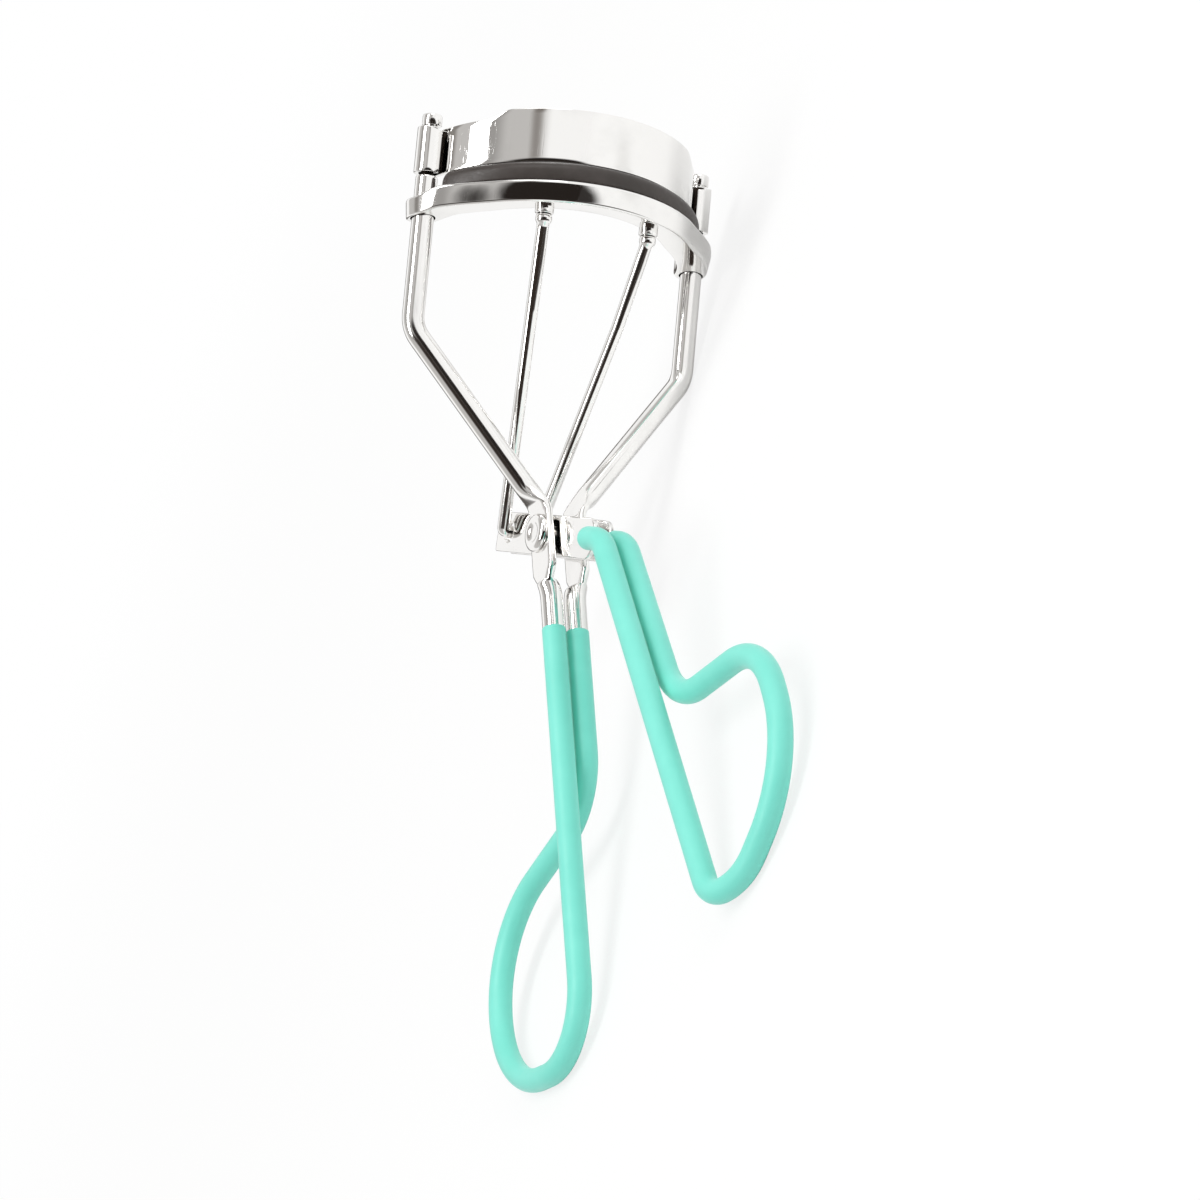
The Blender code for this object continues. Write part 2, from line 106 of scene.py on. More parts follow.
class CurlerWireSizes(bpy.types.PropertyGroup):
    wire_radius: length("Wire", "Radius of the bare frame and lever wire", 1.25)
    guide_x: length("Guide offset", "Distance of a guide rod from the middle", 17.396)
    guide_top: length("Guide top", "Height of the peened guide rod ends", 24.56)
    neck_radius: length("Neck", "Radius of the guide rod inside the upper jaw", 0.7)
    neck_shoulder: length("Neck shoulder", "Height of the shoulder under the upper jaw", 17.4)
    head_radius: length("Peened head", "Radius of the peened guide rod end", 1.12)
    head_height: length("Peened head height", "Height of the peened guide rod end", 1.35)
    corner_radius: length("Corner bend", "Bend between guide rod and leg", 4.0)
    leg_lean: turn("Leg lean", "Forward lean of the two legs", 16.9)
    pivot_drop: length("Pivot drop", "Distance of the rivet below the corners", 22.66)
    handle_lean: turn("Handle lean", "Forward lean of the handle", 18.7)
    tab_x: length("Tab offset", "Distance of a coined tab from the middle", 2.1)
    tab_thick: length("Tab half thickness", "Half thickness of a coined tab", 0.5)
    tab_wide: length("Tab half width", "Half width of a coined tab", 2.15)
    tab_top: signed_length("Tab top", "Where the tab starts, down from the rivet", -3.2)
    tab_bottom: signed_length("Tab bottom", "Where the round wire starts again", 5.9)
    handle_x: length("Handle offset", "Distance of a handle rod from the middle", 1.47)
    coat_start: length("Coat start", "Where the thumb coat starts, down from the rivet", 11.5)
    coat_radius: length("Coat", "Outer radius of the soft coat", 1.32)


class CurlerLeverSizes(bpy.types.PropertyGroup):
    arm_tilt: turn("Arm tilt", "Tilt of the lever plates to the handle", 26.7)
    plate_x: length("Plate offset", "Distance of a lever plate from the middle", 0.95)
    plate_thick: length("Plate half thickness", "Half thickness of a lever plate", 0.35)
    plate_wide: length("Plate half width", "Half width of a lever plate", 2.3)
    plate_tail: signed_length("Plate tail", "Rear end of a plate, from the rivet", -12.9)
    plate_end: length("Plate end", "Rounded front end of a plate, from the rivet", 11.0)
    coat_start: length("Coat start", "Where the lever's coat starts, from the rivet", 8.9)
    knee: length("Knee", "Bend of the lever, from the rivet", 13.2)
    knee_radius: length("Knee bend", "Bend radius of the knee", 4.0)
    rivet_radius: length("Rivet", "Radius of the rivet shank", 1.0)
    head_radius: length("Rivet head", "Radius of a rivet head", 2.2)
    head_height: length("Rivet head height", "Height of a rivet head", 0.75)
    dimple_radius: length("Rivet dimple", "Radius of the dimple in a rivet head", 1.2)
    hook_arm: length("Hook arm", "Distance of the push rod holes from the rivet", 9.9)
    hook_hole: length("Hook hole", "Radius of the push rod holes", 1.3)
    rod_radius: length("Push rod", "Radius of a push rod", 0.72)
    ball_radius: length("Ball", "Radius of a push rod's ball", 0.95)


class CurlerJawSizes(bpy.types.PropertyGroup):
    axis_z: signed_length("Bow axis", "Where the bow's axis lies, from the guide rods", -5.4)
    cant: turn("Cant", "Rise of the jaws towards their front", 9.0)
    barrel_radius: length("Barrel", "Middle radius of a rolled barrel", 1.25)
    barrel_low: length("Barrel foot", "Lower edge of the upper jaw", 17.7)
    barrel_top: length("Barrel top", "Upper edge of the rolled barrels", 22.95)
    crest: length("Crest", "Upper edge of the raised middle", 23.85)
    sheet: length("Sheet", "Thickness of the upper jaw's sheet", 0.6)
    bar_radius: length("Bar bow", "Bow radius of the lower jaw", 16.75)
    bar_half: length("Bar half width", "Half width of the lower jaw", 1.95)
    bar_low: length("Bar foot", "Underside of the lower jaw", 12.85)
    bar_top: length("Bar top", "Upper lip of the lower jaw", 15.35)
    bar_lean: length("Bar lean", "How far the front face leans in at its foot", 0.35)
    groove_half: length("Groove half width", "Half width of the pad's groove", 0.95)
    groove_floor: length("Groove floor", "Floor of the pad's groove", 14.0)
    boss_radius: length("Boss", "Outer radius of the guide bosses", 2.05)
    boss_low: length("Boss foot", "Underside of the guide bosses", 12.6)
    boss_top: length("Boss top", "Upper side of the guide bosses", 14.65)
    boss_bore: length("Boss bore", "Radius of the bores in the guide bosses", 1.42)
    pad_half: length("Pad half width", "Half width of the pad's crown", 1.4)
    pad_top: length("Pad top", "Top of the rubber pad", 17.6)
    ball_x: length("Ball offset", "Distance of a ball from the middle", 6.65)
    ball_bow: length("Ball bow", "Bow radius on which the balls sit", 15.6)


class CurlerFinishes(bpy.types.PropertyGroup):
    chrome: colour("Chrome", "Colour of the plating", (0.915, 0.905, 0.89))
    # Painted shade: a near-black colour inside the rolled barrels stands in for the shadow in their slots.
    painted_recess_shade: colour("Recess", "Colour of the dull metal inside the rolled barrels", (0.035, 0.027, 0.022))
    coat: colour("Coat", "Colour of the soft coat", (0.20, 0.765, 0.642))
    coat_deep: colour("Coat shade", "Colour of the thinner spots of the coat", (0.178, 0.728, 0.606))
    coat_speck: colour("Coat speck", "Colour of the few specks in the coat", (0.05, 0.22, 0.20))
    rubber: colour("Rubber", "Colour of the pad", (0.042, 0.034, 0.030))
    rubber_dust: colour("Rubber bloom", "Colour of the pad's pale bloom", (0.058, 0.047, 0.043))
    floor: colour("Floor", "Colour of the floor", (0.90, 0.90, 0.895))


class CurlerStudio(bpy.types.PropertyGroup):
    key_power: FloatProperty(name="Key", description="Power of the large overhead softbox", default=2.15,
                             min=0.0, subtype="POWER", unit="POWER")
    fill: share("Fill", "Strength of the even light from all round", 0.50)
    floor_reach: length("Floor reach", "Radius of the floor", 1500.0)
    lens: FloatProperty(name="Lens", description="Focal length in mm on a 36 mm sensor", default=122.1,
                        min=20.0)
    sides: IntProperty(name="Wire sides", description="Facets round a wire", default=40, min=12, max=96)


GROUPS = {"curler_wire": CurlerWireSizes, "curler_lever": CurlerLeverSizes, "curler_jaw": CurlerJawSizes,
          "curler_finish": CurlerFinishes, "curler_studio": CurlerStudio}

# Handle bends in mm: across, down the handle and forwards from the rivet, then the bend radius
THUMB_BENDS = [((-1.47, 61.35, 0.3), 8.0), ((-0.12, 58.6, -20.4), 11.8), ((0.9, 39.4, -21.4), 12.6),
               ((1.47, 31.9, 0.0), 8.6)]
FINGER_BENDS = [((-1.47, 53.2, 27.6), 2.8), ((-0.48, 52.9, 32.6), 8.2), ((0.02, 44.0, 42.9), 13.2),
                ((0.9, 28.7, 37.6), 8.6), ((1.47, 28.2, 19.6), 7.1)]

# Polish of each kind of metal piece: roughness, marks, ripple, bump and how the marks are drawn out
POLISH = {
    "drawn_wire": {"roughness": 0.10, "smudge": 0.06, "scratch": 0.03, "ripple": 0.5, "ripple_scale": 380.0,
                   "bump": 0.08, "stretch": (1.0, 0.35, 1.0)},
    "pressed_sheet": {"roughness": 0.035, "smudge": 0.08, "scratch": 0.07, "ripple": 0.6,
                      "ripple_scale": 190.0, "bump": 0.70, "stretch": (1.0, 1.0, 1.0)},
    "cast_jaw": {"roughness": 0.05, "smudge": 0.08, "scratch": 0.05, "ripple": 1.0, "ripple_scale": 520.0,
                 "bump": 0.30, "stretch": (1.0, 1.0, 1.0)},
    "coined_plate": {"roughness": 0.065, "smudge": 0.12, "scratch": 0.12, "ripple": 0.8,
                     "ripple_scale": 700.0, "bump": 0.10, "stretch": (1.0, 1.0, 0.3)},
}

# What the metal mirrors: the tone of an oval card round the curler, then in degrees its bearing from the
# bowed front, half width, height and half height, and last the softness of its edge as a share
ROOM_CARDS = [((0.55, 0.538, 0.525), (-83.0, 54.0, 0.0, 200.0, 0.10)),
              ((0.34, 0.33, 0.32), (-71.0, 8.0, 20.0, 90.0, 0.8)),
              ((0.25, 0.235, 0.22), (-106.0, 5.0, 5.0, 40.0, 0.5)),
              ((0.22, 0.20, 0.185), (-36.0, 5.0, 42.0, 34.0, 0.5)),
              ((0.030, 0.022, 0.018), (-12.0, 78.0, -25.0, 14.0, 0.25)),
              ((0.020, 0.016, 0.014), (-22.0, 35.0, -4.0, 13.0, 0.20)),
              ((0.66, 0.65, 0.635), (36.0, 11.0, 15.0, 12.0, 0.5)),
              ((0.42, 0.40, 0.385), (153.0, 17.0, 12.0, 18.0, 0.6)),
              ((0.10, 0.09, 0.085), (178.0, 9.0, 0.0, 60.0, 0.4))]


class ToolLayout:
    """The curler's main points and directions in tool axes, from the sizes in the sidebar."""

    def __init__(self, scene):
        self.wire, self.lever, self.jaw = scene.curler_wire, scene.curler_lever, scene.curler_jaw
        self.sides = scene.curler_studio.sides
        lean = self.wire.handle_lean
        self.down = Vector((0, -cos(lean), sin(lean)))
        self.forwards = Vector((0, sin(lean), cos(lean)))
        self.pivot = self.wire.pivot_drop * Vector((0, -cos(self.wire.leg_lean), sin(self.wire.leg_lean)))
        tilt = self.lever.arm_tilt
        self.arm = sin(tilt) * self.down + cos(tilt) * self.forwards
        self.arm_wide = X_AXIS.cross(self.arm)
        self.hook = self.pivot - self.lever.hook_arm * self.arm
        self.guide_angle = atan2(self.wire.guide_x, -self.jaw.axis_z)
        self.guide_bow = hypot(self.wire.guide_x, self.jaw.axis_z)
        self.jaw_bow = self.guide_bow - self.jaw.barrel_radius

    def on_handle(self, across, down, forwards):
        return self.pivot + across * X_AXIS + down * self.down + forwards * self.forwards

    def on_arm(self, across, along):
        """A point of the lever's plates or of the wire that runs on from them."""
        return self.pivot + along * self.arm + across * X_AXIS

    def on_bow(self, radius, angle, height):
        """A point of the upper jaw at a height given at the guide rods."""
        z = self.jaw.axis_z + radius * cos(angle)
        return Vector((radius * sin(angle), height + z * tan(self.jaw.cant), z))

    def on_bar(self, radius, angle, height):
        """A point of the lower jaw, whose sections stay level while the bow rises."""
        rise = (self.jaw.axis_z + self.jaw_bow * cos(angle)) * tan(self.jaw.cant)
        return Vector((radius * sin(angle), height + rise, self.jaw.axis_z + radius * cos(angle)))

    def under_bar(self, side, drop):
        """A point on a ball's axis, a drop below the underside of the lower jaw."""
        jaw = self.jaw
        return self.on_bar(jaw.ball_bow, side * asin(jaw.ball_x / jaw.ball_bow), jaw.bar_low - drop)

    def ball(self, side):
        return self.under_bar(side, BALL_DROP)

    def bends(self, table):
        """Corner points and bend radii of a handle loop."""
        corners = [self.on_handle(*(value * MM for value in spot)) for spot, _ in table]
        return corners, [radius * MM for _, radius in table]

    def lying(self):
        """Tool axes to the frame's axes, read from the lever's hinge and the lower jaw's slide."""
        across = Vector(JOINTS["lever_hinge"]["axis"]).normalized()
        along = Vector(JOINTS["lower_jaw_slide"]["axis"]).normalized()
        turned = Matrix((across, along, across.cross(along))).transposed()
        shift = Vector(JOINTS["lever_hinge"]["pos_m"]) - turned @ self.pivot
        return Matrix.Translation(shift) @ turned.to_4x4()


def mix(a, b, t):
    return a + (b - a) * t


def smooth_step(value, start, end):
    t = max(0.0, min(1.0, (value - start) / (end - start)))
    return t * t * (3.0 - 2.0 * t)


def dome(t):
    """Quarter circle: steep at 0, level at 1."""
    t = max(0.0, min(1.0, t))
    return sqrt(1.0 - (1.0 - t) ** 2)


def on_side(spot, side):
    """A point of the right half, or its mirror image in the left half."""
    return Vector((side * spot.x, spot.y, spot.z))


def bent(corners, radii, step=radians(4.0)):
    """A wire's centre line: straight runs between corners, each inner corner rounded to its radius."""
    points = [corners[0]]
    for before, corner, after, radius in zip(corners, corners[1:], corners[2:], radii):
        back, on = (before - corner).normalized(), (after - corner).normalized()
        half_turn = 0.5 * back.angle(on)
        centre = corner + (back + on).normalized() * radius / sin(half_turn)
        start = corner + back * radius / tan(half_turn) - centre
        sweep = start.rotation_difference(corner + on * radius / tan(half_turn) - centre)
        steps = max(4, round(sweep.angle / step))
        for i in range(steps + 1):
            part = sweep.copy()
            part.angle = sweep.angle * i / steps
            points.append(centre + part @ start)
    points.append(corners[-1])
    return points


def filled(points, spacing):
    """The same line with points added on its long runs."""
    line = [points[0]]
    for here, there in zip(points, points[1:]):
        count = max(1, round((there - here).length / spacing))
        line += [here.lerp(there, i / count) for i in range(1, count + 1)]
    return line


def tangents_of(points):
    ends = [points[0]] + list(points) + [points[-1]]
    return [(after - before).normalized() for before, after in zip(ends, ends[2:])]


def wire_section(centre, tangent, wide, half_thick, half_wide, squareness, sides):
    """A wire's section: round, or with more squareness flattened into a coined strip with soft edges."""
    wide = (wide - wide.dot(tangent) * tangent).normalized()
    thick = tangent.cross(wide)
    ring = []
    for i in range(sides):
        c, s = cos(2.0 * pi * i / sides), sin(2.0 * pi * i / sides)
        across = half_thick * copysign(abs(c) ** (2.0 / squareness), c)
        along = half_wide * copysign(abs(s) ** (2.0 / squareness), s)
        ring.append(centre + across * thick + along * wide)
    return ring


def round_rings(points, radii, sides):
    """Circles along a line, carried from one to the next without twist."""
    tangents = tangents_of(points)
    wide = Z_AXIS if abs(tangents[0].z) < STEEP else X_AXIS
    rings = []
    for point, tangent, radius in zip(points, tangents, radii):
        wide = (wide - wide.dot(tangent) * tangent).normalized()
        rings.append(wire_section(point, tangent, wide, radius, radius, ROUND, sides))
    return rings


def only(piece):
    """Select one object and make it the active one."""
    bpy.ops.object.select_all(action="DESELECT")
    piece.select_set(True)
    bpy.context.view_layer.objects.active = piece


def added(name):
    """The object just added, under its own name."""
    piece = bpy.context.object
    piece.name = piece.data.name = name
    return piece


def settle(piece):
    """Put a piece's place and turn into its mesh."""
    only(piece)
    bpy.ops.object.transform_apply(location=True, rotation=True, scale=True)


def close_up():
    """Point all faces outwards and leave edit mode."""
    bpy.ops.mesh.select_all(action="SELECT")
    bpy.ops.mesh.normals_make_consistent(inside=False)
    bpy.ops.object.mode_set(mode="OBJECT")


def place_cap(piece, ring):
    """Set the selected end face's corners to a ring of points."""
    bm = bmesh.from_edit_mesh(piece.data)
    cap = next(face for face in bm.faces if face.select)
    for corner, spot in zip(cap.verts, ring):
        corner.co = spot
    bmesh.update_edit_mesh(piece.data)


def drawn_out(name, rings):
    """A closed bar: a filled circle extruded from ring to ring, as wire is drawn and coined."""
    bpy.ops.object.select_all(action="DESELECT")
    bpy.ops.mesh.primitive_circle_add(vertices=len(rings[0]), radius=MM, fill_type="NGON")
    piece = added(name)
    bpy.ops.object.mode_set(mode="EDIT")
    bpy.ops.mesh.select_mode(type="FACE")
    bpy.ops.mesh.select_all(action="SELECT")
    place_cap(piece, rings[0])
    for ring in rings[1:]:
        bpy.ops.mesh.extrude_region_move()
        place_cap(piece, ring)
    close_up()
    return piece


def turned(name, profile, steps):
    """A lathe piece: a line of (radius, x) points, extruded point by point and spun about the X axis."""
    bpy.ops.object.select_all(action="DESELECT")
    bpy.ops.mesh.primitive_plane_add(size=MM)
    piece = added(name)
    bpy.ops.object.mode_set(mode="EDIT")
    bpy.ops.mesh.select_mode(type="VERT")
    bpy.ops.mesh.select_all(action="SELECT")
    bpy.ops.mesh.merge(type="CENTER")
    spots = [Vector((x, radius, 0.0)) for radius, x in profile]
    bpy.ops.transform.translate(value=spots[0])
    for here, there in zip(spots, spots[1:]):
        bpy.ops.mesh.extrude_region_move(TRANSFORM_OT_translate={"value": there - here})
    bpy.ops.mesh.select_all(action="SELECT")
    bpy.ops.mesh.spin(steps=steps, angle=2.0 * pi, center=(0, 0, 0), axis=(1, 0, 0))
    bpy.ops.mesh.select_all(action="SELECT")
    bpy.ops.mesh.remove_doubles(threshold=0.002 * MM)
    close_up()
    return piece


def post(name, radius, low, top, sides=64, bevel=0.0):
    """A round post between two points, its rims bevelled in edit mode."""
    bpy.ops.object.select_all(action="DESELECT")
    bpy.ops.mesh.primitive_cylinder_add(vertices=sides, radius=radius, depth=(top - low).length)
    piece = added(name)
    if bevel:
        bpy.ops.object.mode_set(mode="EDIT")
        bpy.ops.mesh.select_mode(type="EDGE")
        bpy.ops.mesh.select_all(action="DESELECT")
        bm = bmesh.from_edit_mesh(piece.data)
        for edge in bm.edges:
            edge.select_set(abs(edge.verts[0].co.z - edge.verts[1].co.z) < SAME_LEVEL)
        bm.select_flush_mode()
        bmesh.update_edit_mesh(piece.data)
        bpy.ops.mesh.bevel(offset=bevel, segments=6, affect="EDGES")
        bpy.ops.object.mode_set(mode="OBJECT")
    swing = Z_AXIS.rotation_difference((top - low).normalized()).to_matrix().to_4x4()
    piece.matrix_world = Matrix.Translation(0.5 * (low + top)) @ swing
    settle(piece)
    return piece


def bead(name, radius, centre):
    bpy.ops.object.select_all(action="DESELECT")
    bpy.ops.mesh.primitive_uv_sphere_add(segments=48, ring_count=24, radius=radius, location=centre)
    piece = added(name)
    settle(piece)
    return piece


def boolean(piece, tool, operation):
    """Join a tool to a piece, or take it away from it, and remove the tool."""
    only(piece)
    step = piece.modifiers.new(operation.lower(), "BOOLEAN")
    step.operation = operation
    step.solver = "EXACT"
    step.object = tool
    bpy.ops.object.modifier_apply(modifier=step.name)
    spare = tool.data
    bpy.data.objects.remove(tool, do_unlink=True)
    bpy.data.meshes.remove(spare)


def thicken(piece, thickness):
    """Give a sheet its wall, half to each side."""
    only(piece)
    wall = piece.modifiers.new("sheet", "SOLIDIFY")
    wall.thickness = thickness
    wall.offset = 0.0
    wall.use_even_offset = True
    bpy.ops.object.modifier_apply(modifier=wall.name)


def soften(piece, width, segments, angle):
    """Round the edges that turn by more than an angle."""
    only(piece)
    step = piece.modifiers.new("soft edges", "BEVEL")
    step.width = width
    step.segments = segments
    step.limit_method = "ANGLE"
    step.angle_limit = angle
    bpy.ops.object.modifier_apply(modifier=step.name)


def fit(piece, material, body, slot, *nodes, smooth=35.0):
    """Shade a piece up to an angle in degrees, lay it on the frame, and let it ride for its CAD nodes."""
    only(piece)
    bpy.ops.object.shade_smooth_by_angle(angle=radians(smooth))
    piece.matrix_world = ToolLayout(bpy.context.scene).lying()
    settle(piece)
    piece.data.materials.clear()
    piece.data.materials.append(material)
    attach(piece, body)
    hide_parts(*nodes)


def node_group(name, inputs, outputs):
    """An empty shader group with its named sockets, and its two end nodes."""
    group = bpy.data.node_groups.new(name, "ShaderNodeTree")
    for way, sockets in (("INPUT", inputs), ("OUTPUT", outputs)):
        for label, kind in sockets:
            group.interface.new_socket(name=label, in_out=way, socket_type="NodeSocket" + kind)
    return group, group.nodes.new("NodeGroupInput"), group.nodes.new("NodeGroupOutput")


class Nodes:
    """Short words for placing nodes in a tree."""

    def __init__(self, tree):
        self.tree = tree

    def feed(self, socket, value):
        """Link a socket to another one, or set its value."""
        if isinstance(value, bpy.types.NodeSocket):
            self.tree.links.new(value, socket)
        else:
            socket.default_value = value

    def add(self, kind, settings=None, **sockets):
        node = self.tree.nodes.new(kind)
        for name, value in (settings or {}).items():
            setattr(node, name, value)
        for name, value in sockets.items():
            self.feed(node.inputs[name.replace("_", " ")], value)
        return node

    def in_order(self, kind, settings, *values):
        """A node whose sockets are fed in their order, and its first output."""
        node = self.add(kind, settings)
        for socket, value in zip(node.inputs, values):
            self.feed(socket, value)
        return node.outputs[0]

    def math(self, operation, *values):
        return self.in_order("ShaderNodeMath", {"operation": operation}, *values)

    def noise(self, vector, scale, detail, roughness):
        node = self.add("ShaderNodeTexNoise", Vector=vector, Scale=scale, Detail=detail, Roughness=roughness)
        return node.outputs["Fac"]

    def span(self, value, low, high, to_low=0.0, to_high=1.0):
        node = self.add("ShaderNodeMapRange", {"interpolation_type": "SMOOTHSTEP"}, Value=value,
                        From_Min=low, From_Max=high, To_Min=to_low, To_Max=to_high)
        return node.outputs["Result"]

    def blend(self, factor, a, b):
        node = self.add("ShaderNodeMix", {"data_type": "RGBA"}, Factor=factor, A=a, B=b)
        return node.outputs["Result"]

    def relief(self, shader, strength, height):
        """Bump of a height on a shader."""
        bump = self.add("ShaderNodeBump", Strength=strength, Distance=RELIEF_DEPTH, Height=height)
        self.feed(shader.inputs["Normal"], bump.outputs[0])


def handling_marks():
    """Smudges, hairline scratches and plating ripple, shared by the metal finishes."""
    group = bpy.data.node_groups.get("handling_marks")
    if group:
        return group
    group, start, end = node_group(
        "handling_marks",
        [("Vector", "Vector"), ("Smudge", "Float"), ("Scratch", "Float"), ("Ripple", "Float"),
         ("Ripple Scale", "Float")],
        [("Haze", "Float"), ("Height", "Float"), ("Stain", "Float")])
    n = Nodes(group)
    place = start.outputs["Vector"]
    smudge = n.span(n.noise(place, scale=140.0, detail=4.0, roughness=0.6), 0.48, 0.72)
    fine = n.noise(place, scale=900.0, detail=2.0, roughness=0.5)
    smudge = n.math("MULTIPLY", smudge, n.span(fine, 0.25, 0.75, to_low=0.55))
    fibre = n.add("ShaderNodeMapping", Vector=place, Scale=(5200.0, 160.0, 5200.0))
    hair = n.span(n.noise(fibre.outputs[0], scale=1.0, detail=2.0, roughness=0.6), 0.64, 0.74)
    skew = n.add("ShaderNodeMapping", Vector=place, Rotation=(0.5, 0.9, 0.4), Scale=(4200.0, 210.0, 4200.0))
    cross = n.span(n.noise(skew.outputs[0], scale=1.0, detail=2.0, roughness=0.6), 0.68, 0.76)
    hairs = n.math("MAXIMUM", hair, cross)
    haze = n.math("ADD", n.math("MULTIPLY", smudge, start.outputs["Smudge"]),
                  n.math("MULTIPLY", hairs, start.outputs["Scratch"]))
    ripple = n.noise(place, scale=start.outputs["Ripple Scale"], detail=1.5, roughness=0.45)
    cut = n.math("MULTIPLY", start.outputs["Scratch"], 0.5)
    height = n.math("SUBTRACT", n.math("MULTIPLY", ripple, start.outputs["Ripple"]),
                    n.math("MULTIPLY", hairs, cut))
    n.feed(end.inputs["Haze"], haze)
    n.feed(end.inputs["Height"], height)
    n.feed(end.inputs["Stain"], smudge)
    return group


def new_material(name):
    """A material, its nodes, its shader and its Object coordinates."""
    material = bpy.data.materials.new(name)
    material.use_nodes = True
    n = Nodes(material.node_tree)
    place = n.add("ShaderNodeTexCoord").outputs["Object"]
    return material, n, material.node_tree.nodes["Principled BSDF"], place


def opaque(tone, strength=1.0):
    """A colour socket's value from a tone, or from a darker strength of it."""
    return (*(strength * value for value in tone), 1.0)


def inside_barrels(n, place):
    """A mask of the inside of the rolled barrels, to a soft rim, where the metal is painted with shade and
    made rougher as dull metal.
    """
    wire, jaw = bpy.context.scene.curler_wire, bpy.context.scene.curler_jaw
    x, y, z = n.add("ShaderNodeSeparateXYZ", Vector=place).outputs
    aside = n.math("SUBTRACT", n.math("ABSOLUTE", x), wire.guide_x)
    away = n.math("SQRT", n.math("ADD", n.math("POWER", aside, 2.0), n.math("POWER", z, 2.0)))
    wall, rim = jaw.barrel_radius - 0.5 * jaw.sheet, 0.1 * MM
    near = n.span(away, wall + 0.4 * rim, wall + rim, 1.0, 0.0)
    below = n.span(y, jaw.barrel_top, jaw.barrel_top + rim, 1.0, 0.0)
    above = n.span(y, jaw.barrel_low - 4.0 * rim, jaw.barrel_low - 3.0 * rim)
    return n.math("MULTIPLY", near, n.math("MULTIPLY", below, above))


def chrome_finish(kind):
    """Bright plating on one kind of metal piece, with that piece's own polish."""
    name = "chrome_" + kind
    found = bpy.data.materials.get(name)
    if found:
        return found
    finish, polish = bpy.context.scene.curler_finish, POLISH[kind]
    material, n, shader, place = new_material(name)
    level = ToolLayout(bpy.context.scene).lying().inverted()
    held = n.add("ShaderNodeMapping", Vector=place, Location=level.translation, Rotation=level.to_euler())
    drawn = n.add("ShaderNodeMapping", Vector=held.outputs[0], Scale=polish["stretch"])
    marks = n.add("ShaderNodeGroup", {"node_tree": handling_marks()}, Vector=drawn.outputs[0],
                  Smudge=polish["smudge"], Scratch=polish["scratch"], Ripple=polish["ripple"],
                  Ripple_Scale=polish["ripple_scale"])
    painted_recess_shade = inside_barrels(n, held.outputs[0])
    tint = n.blend(marks.outputs["Stain"], opaque(finish.chrome), opaque(finish.chrome, STAINED))
    # Inside the barrels the colour is painted shade, near black, in place of the shadow in the rolled slot;
    # the added roughness there is the dull metal.
    n.feed(shader.inputs["Base Color"], n.blend(painted_recess_shade, tint, opaque(finish.painted_recess_shade)))
    polished = n.math("ADD", marks.outputs["Haze"], polish["roughness"])
    n.feed(shader.inputs["Roughness"], n.math("ADD", polished, n.math("MULTIPLY", painted_recess_shade, RECESS_DULL)))
    shader.inputs["Metallic"].default_value = 1.0
    n.relief(shader, polish["bump"], marks.outputs["Height"])
    return material


def soft_coat_finish():
    """Matt dipped coat: faint flow marks, fine grain and a few specks."""
    found = bpy.data.materials.get("dipped_soft_coat")
    if found:
        return found
    finish = bpy.context.scene.curler_finish
    material, n, shader, place = new_material("dipped_soft_coat")
    flow = n.span(n.noise(place, scale=160.0, detail=3.0, roughness=0.55), 0.3, 0.72)
    grain = n.noise(place, scale=5200.0, detail=2.0, roughness=0.6)
    peel = n.noise(place, scale=1100.0, detail=2.0, roughness=0.5)
    specks = n.add("ShaderNodeTexVoronoi", {"feature": "F1"}, Vector=place, Scale=230.0, Randomness=1.0)
    speck = n.span(specks.outputs["Distance"], 0.035, 0.065, 1.0, 0.0)
    rare = n.span(n.noise(place, scale=95.0, detail=1.0, roughness=0.5), 0.60, 0.63)
    speck = n.math("MULTIPLY", speck, rare)
    tint = n.blend(flow, opaque(finish.coat), opaque(finish.coat_deep))
    tint = n.blend(n.math("MULTIPLY", speck, 0.5), tint, opaque(finish.coat_speck))
    n.feed(shader.inputs["Base Color"], tint)
    n.feed(shader.inputs["Roughness"], n.span(peel, 0.2, 0.8, to_low=0.46, to_high=0.56))
    shader.inputs["Specular IOR Level"].default_value = 0.65
    shader.inputs["Sheen Weight"].default_value = 0.30
    shader.inputs["Sheen Roughness"].default_value = 0.45
    height = n.math("ADD", n.math("MULTIPLY", grain, 0.35), n.math("MULTIPLY", peel, 0.65))
    n.relief(shader, strength=0.16, height=height)
    return material


def pad_rubber_finish():
    """Moulded rubber: a fine matt grain with a pale bloom."""
    found = bpy.data.materials.get("moulded_pad_rubber")
    if found:
        return found
    finish = bpy.context.scene.curler_finish
    material, n, shader, place = new_material("moulded_pad_rubber")
    bloom = n.span(n.noise(place, scale=240.0, detail=4.0, roughness=0.6), 0.42, 0.75)
    grain = n.noise(place, scale=6500.0, detail=2.0, roughness=0.6)
    pores = n.noise(place, scale=2100.0, detail=2.0, roughness=0.5)
    n.feed(shader.inputs["Base Color"], n.blend(bloom, opaque(finish.rubber), opaque(finish.rubber_dust)))
    n.feed(shader.inputs["Roughness"], n.span(pores, 0.25, 0.75, to_low=0.34, to_high=0.46))
    shader.inputs["Specular IOR Level"].default_value = 0.42
    height = n.math("ADD", n.math("MULTIPLY", grain, 0.5), n.math("MULTIPLY", pores, 0.5))
    n.relief(shader, strength=0.22, height=height)
    return material


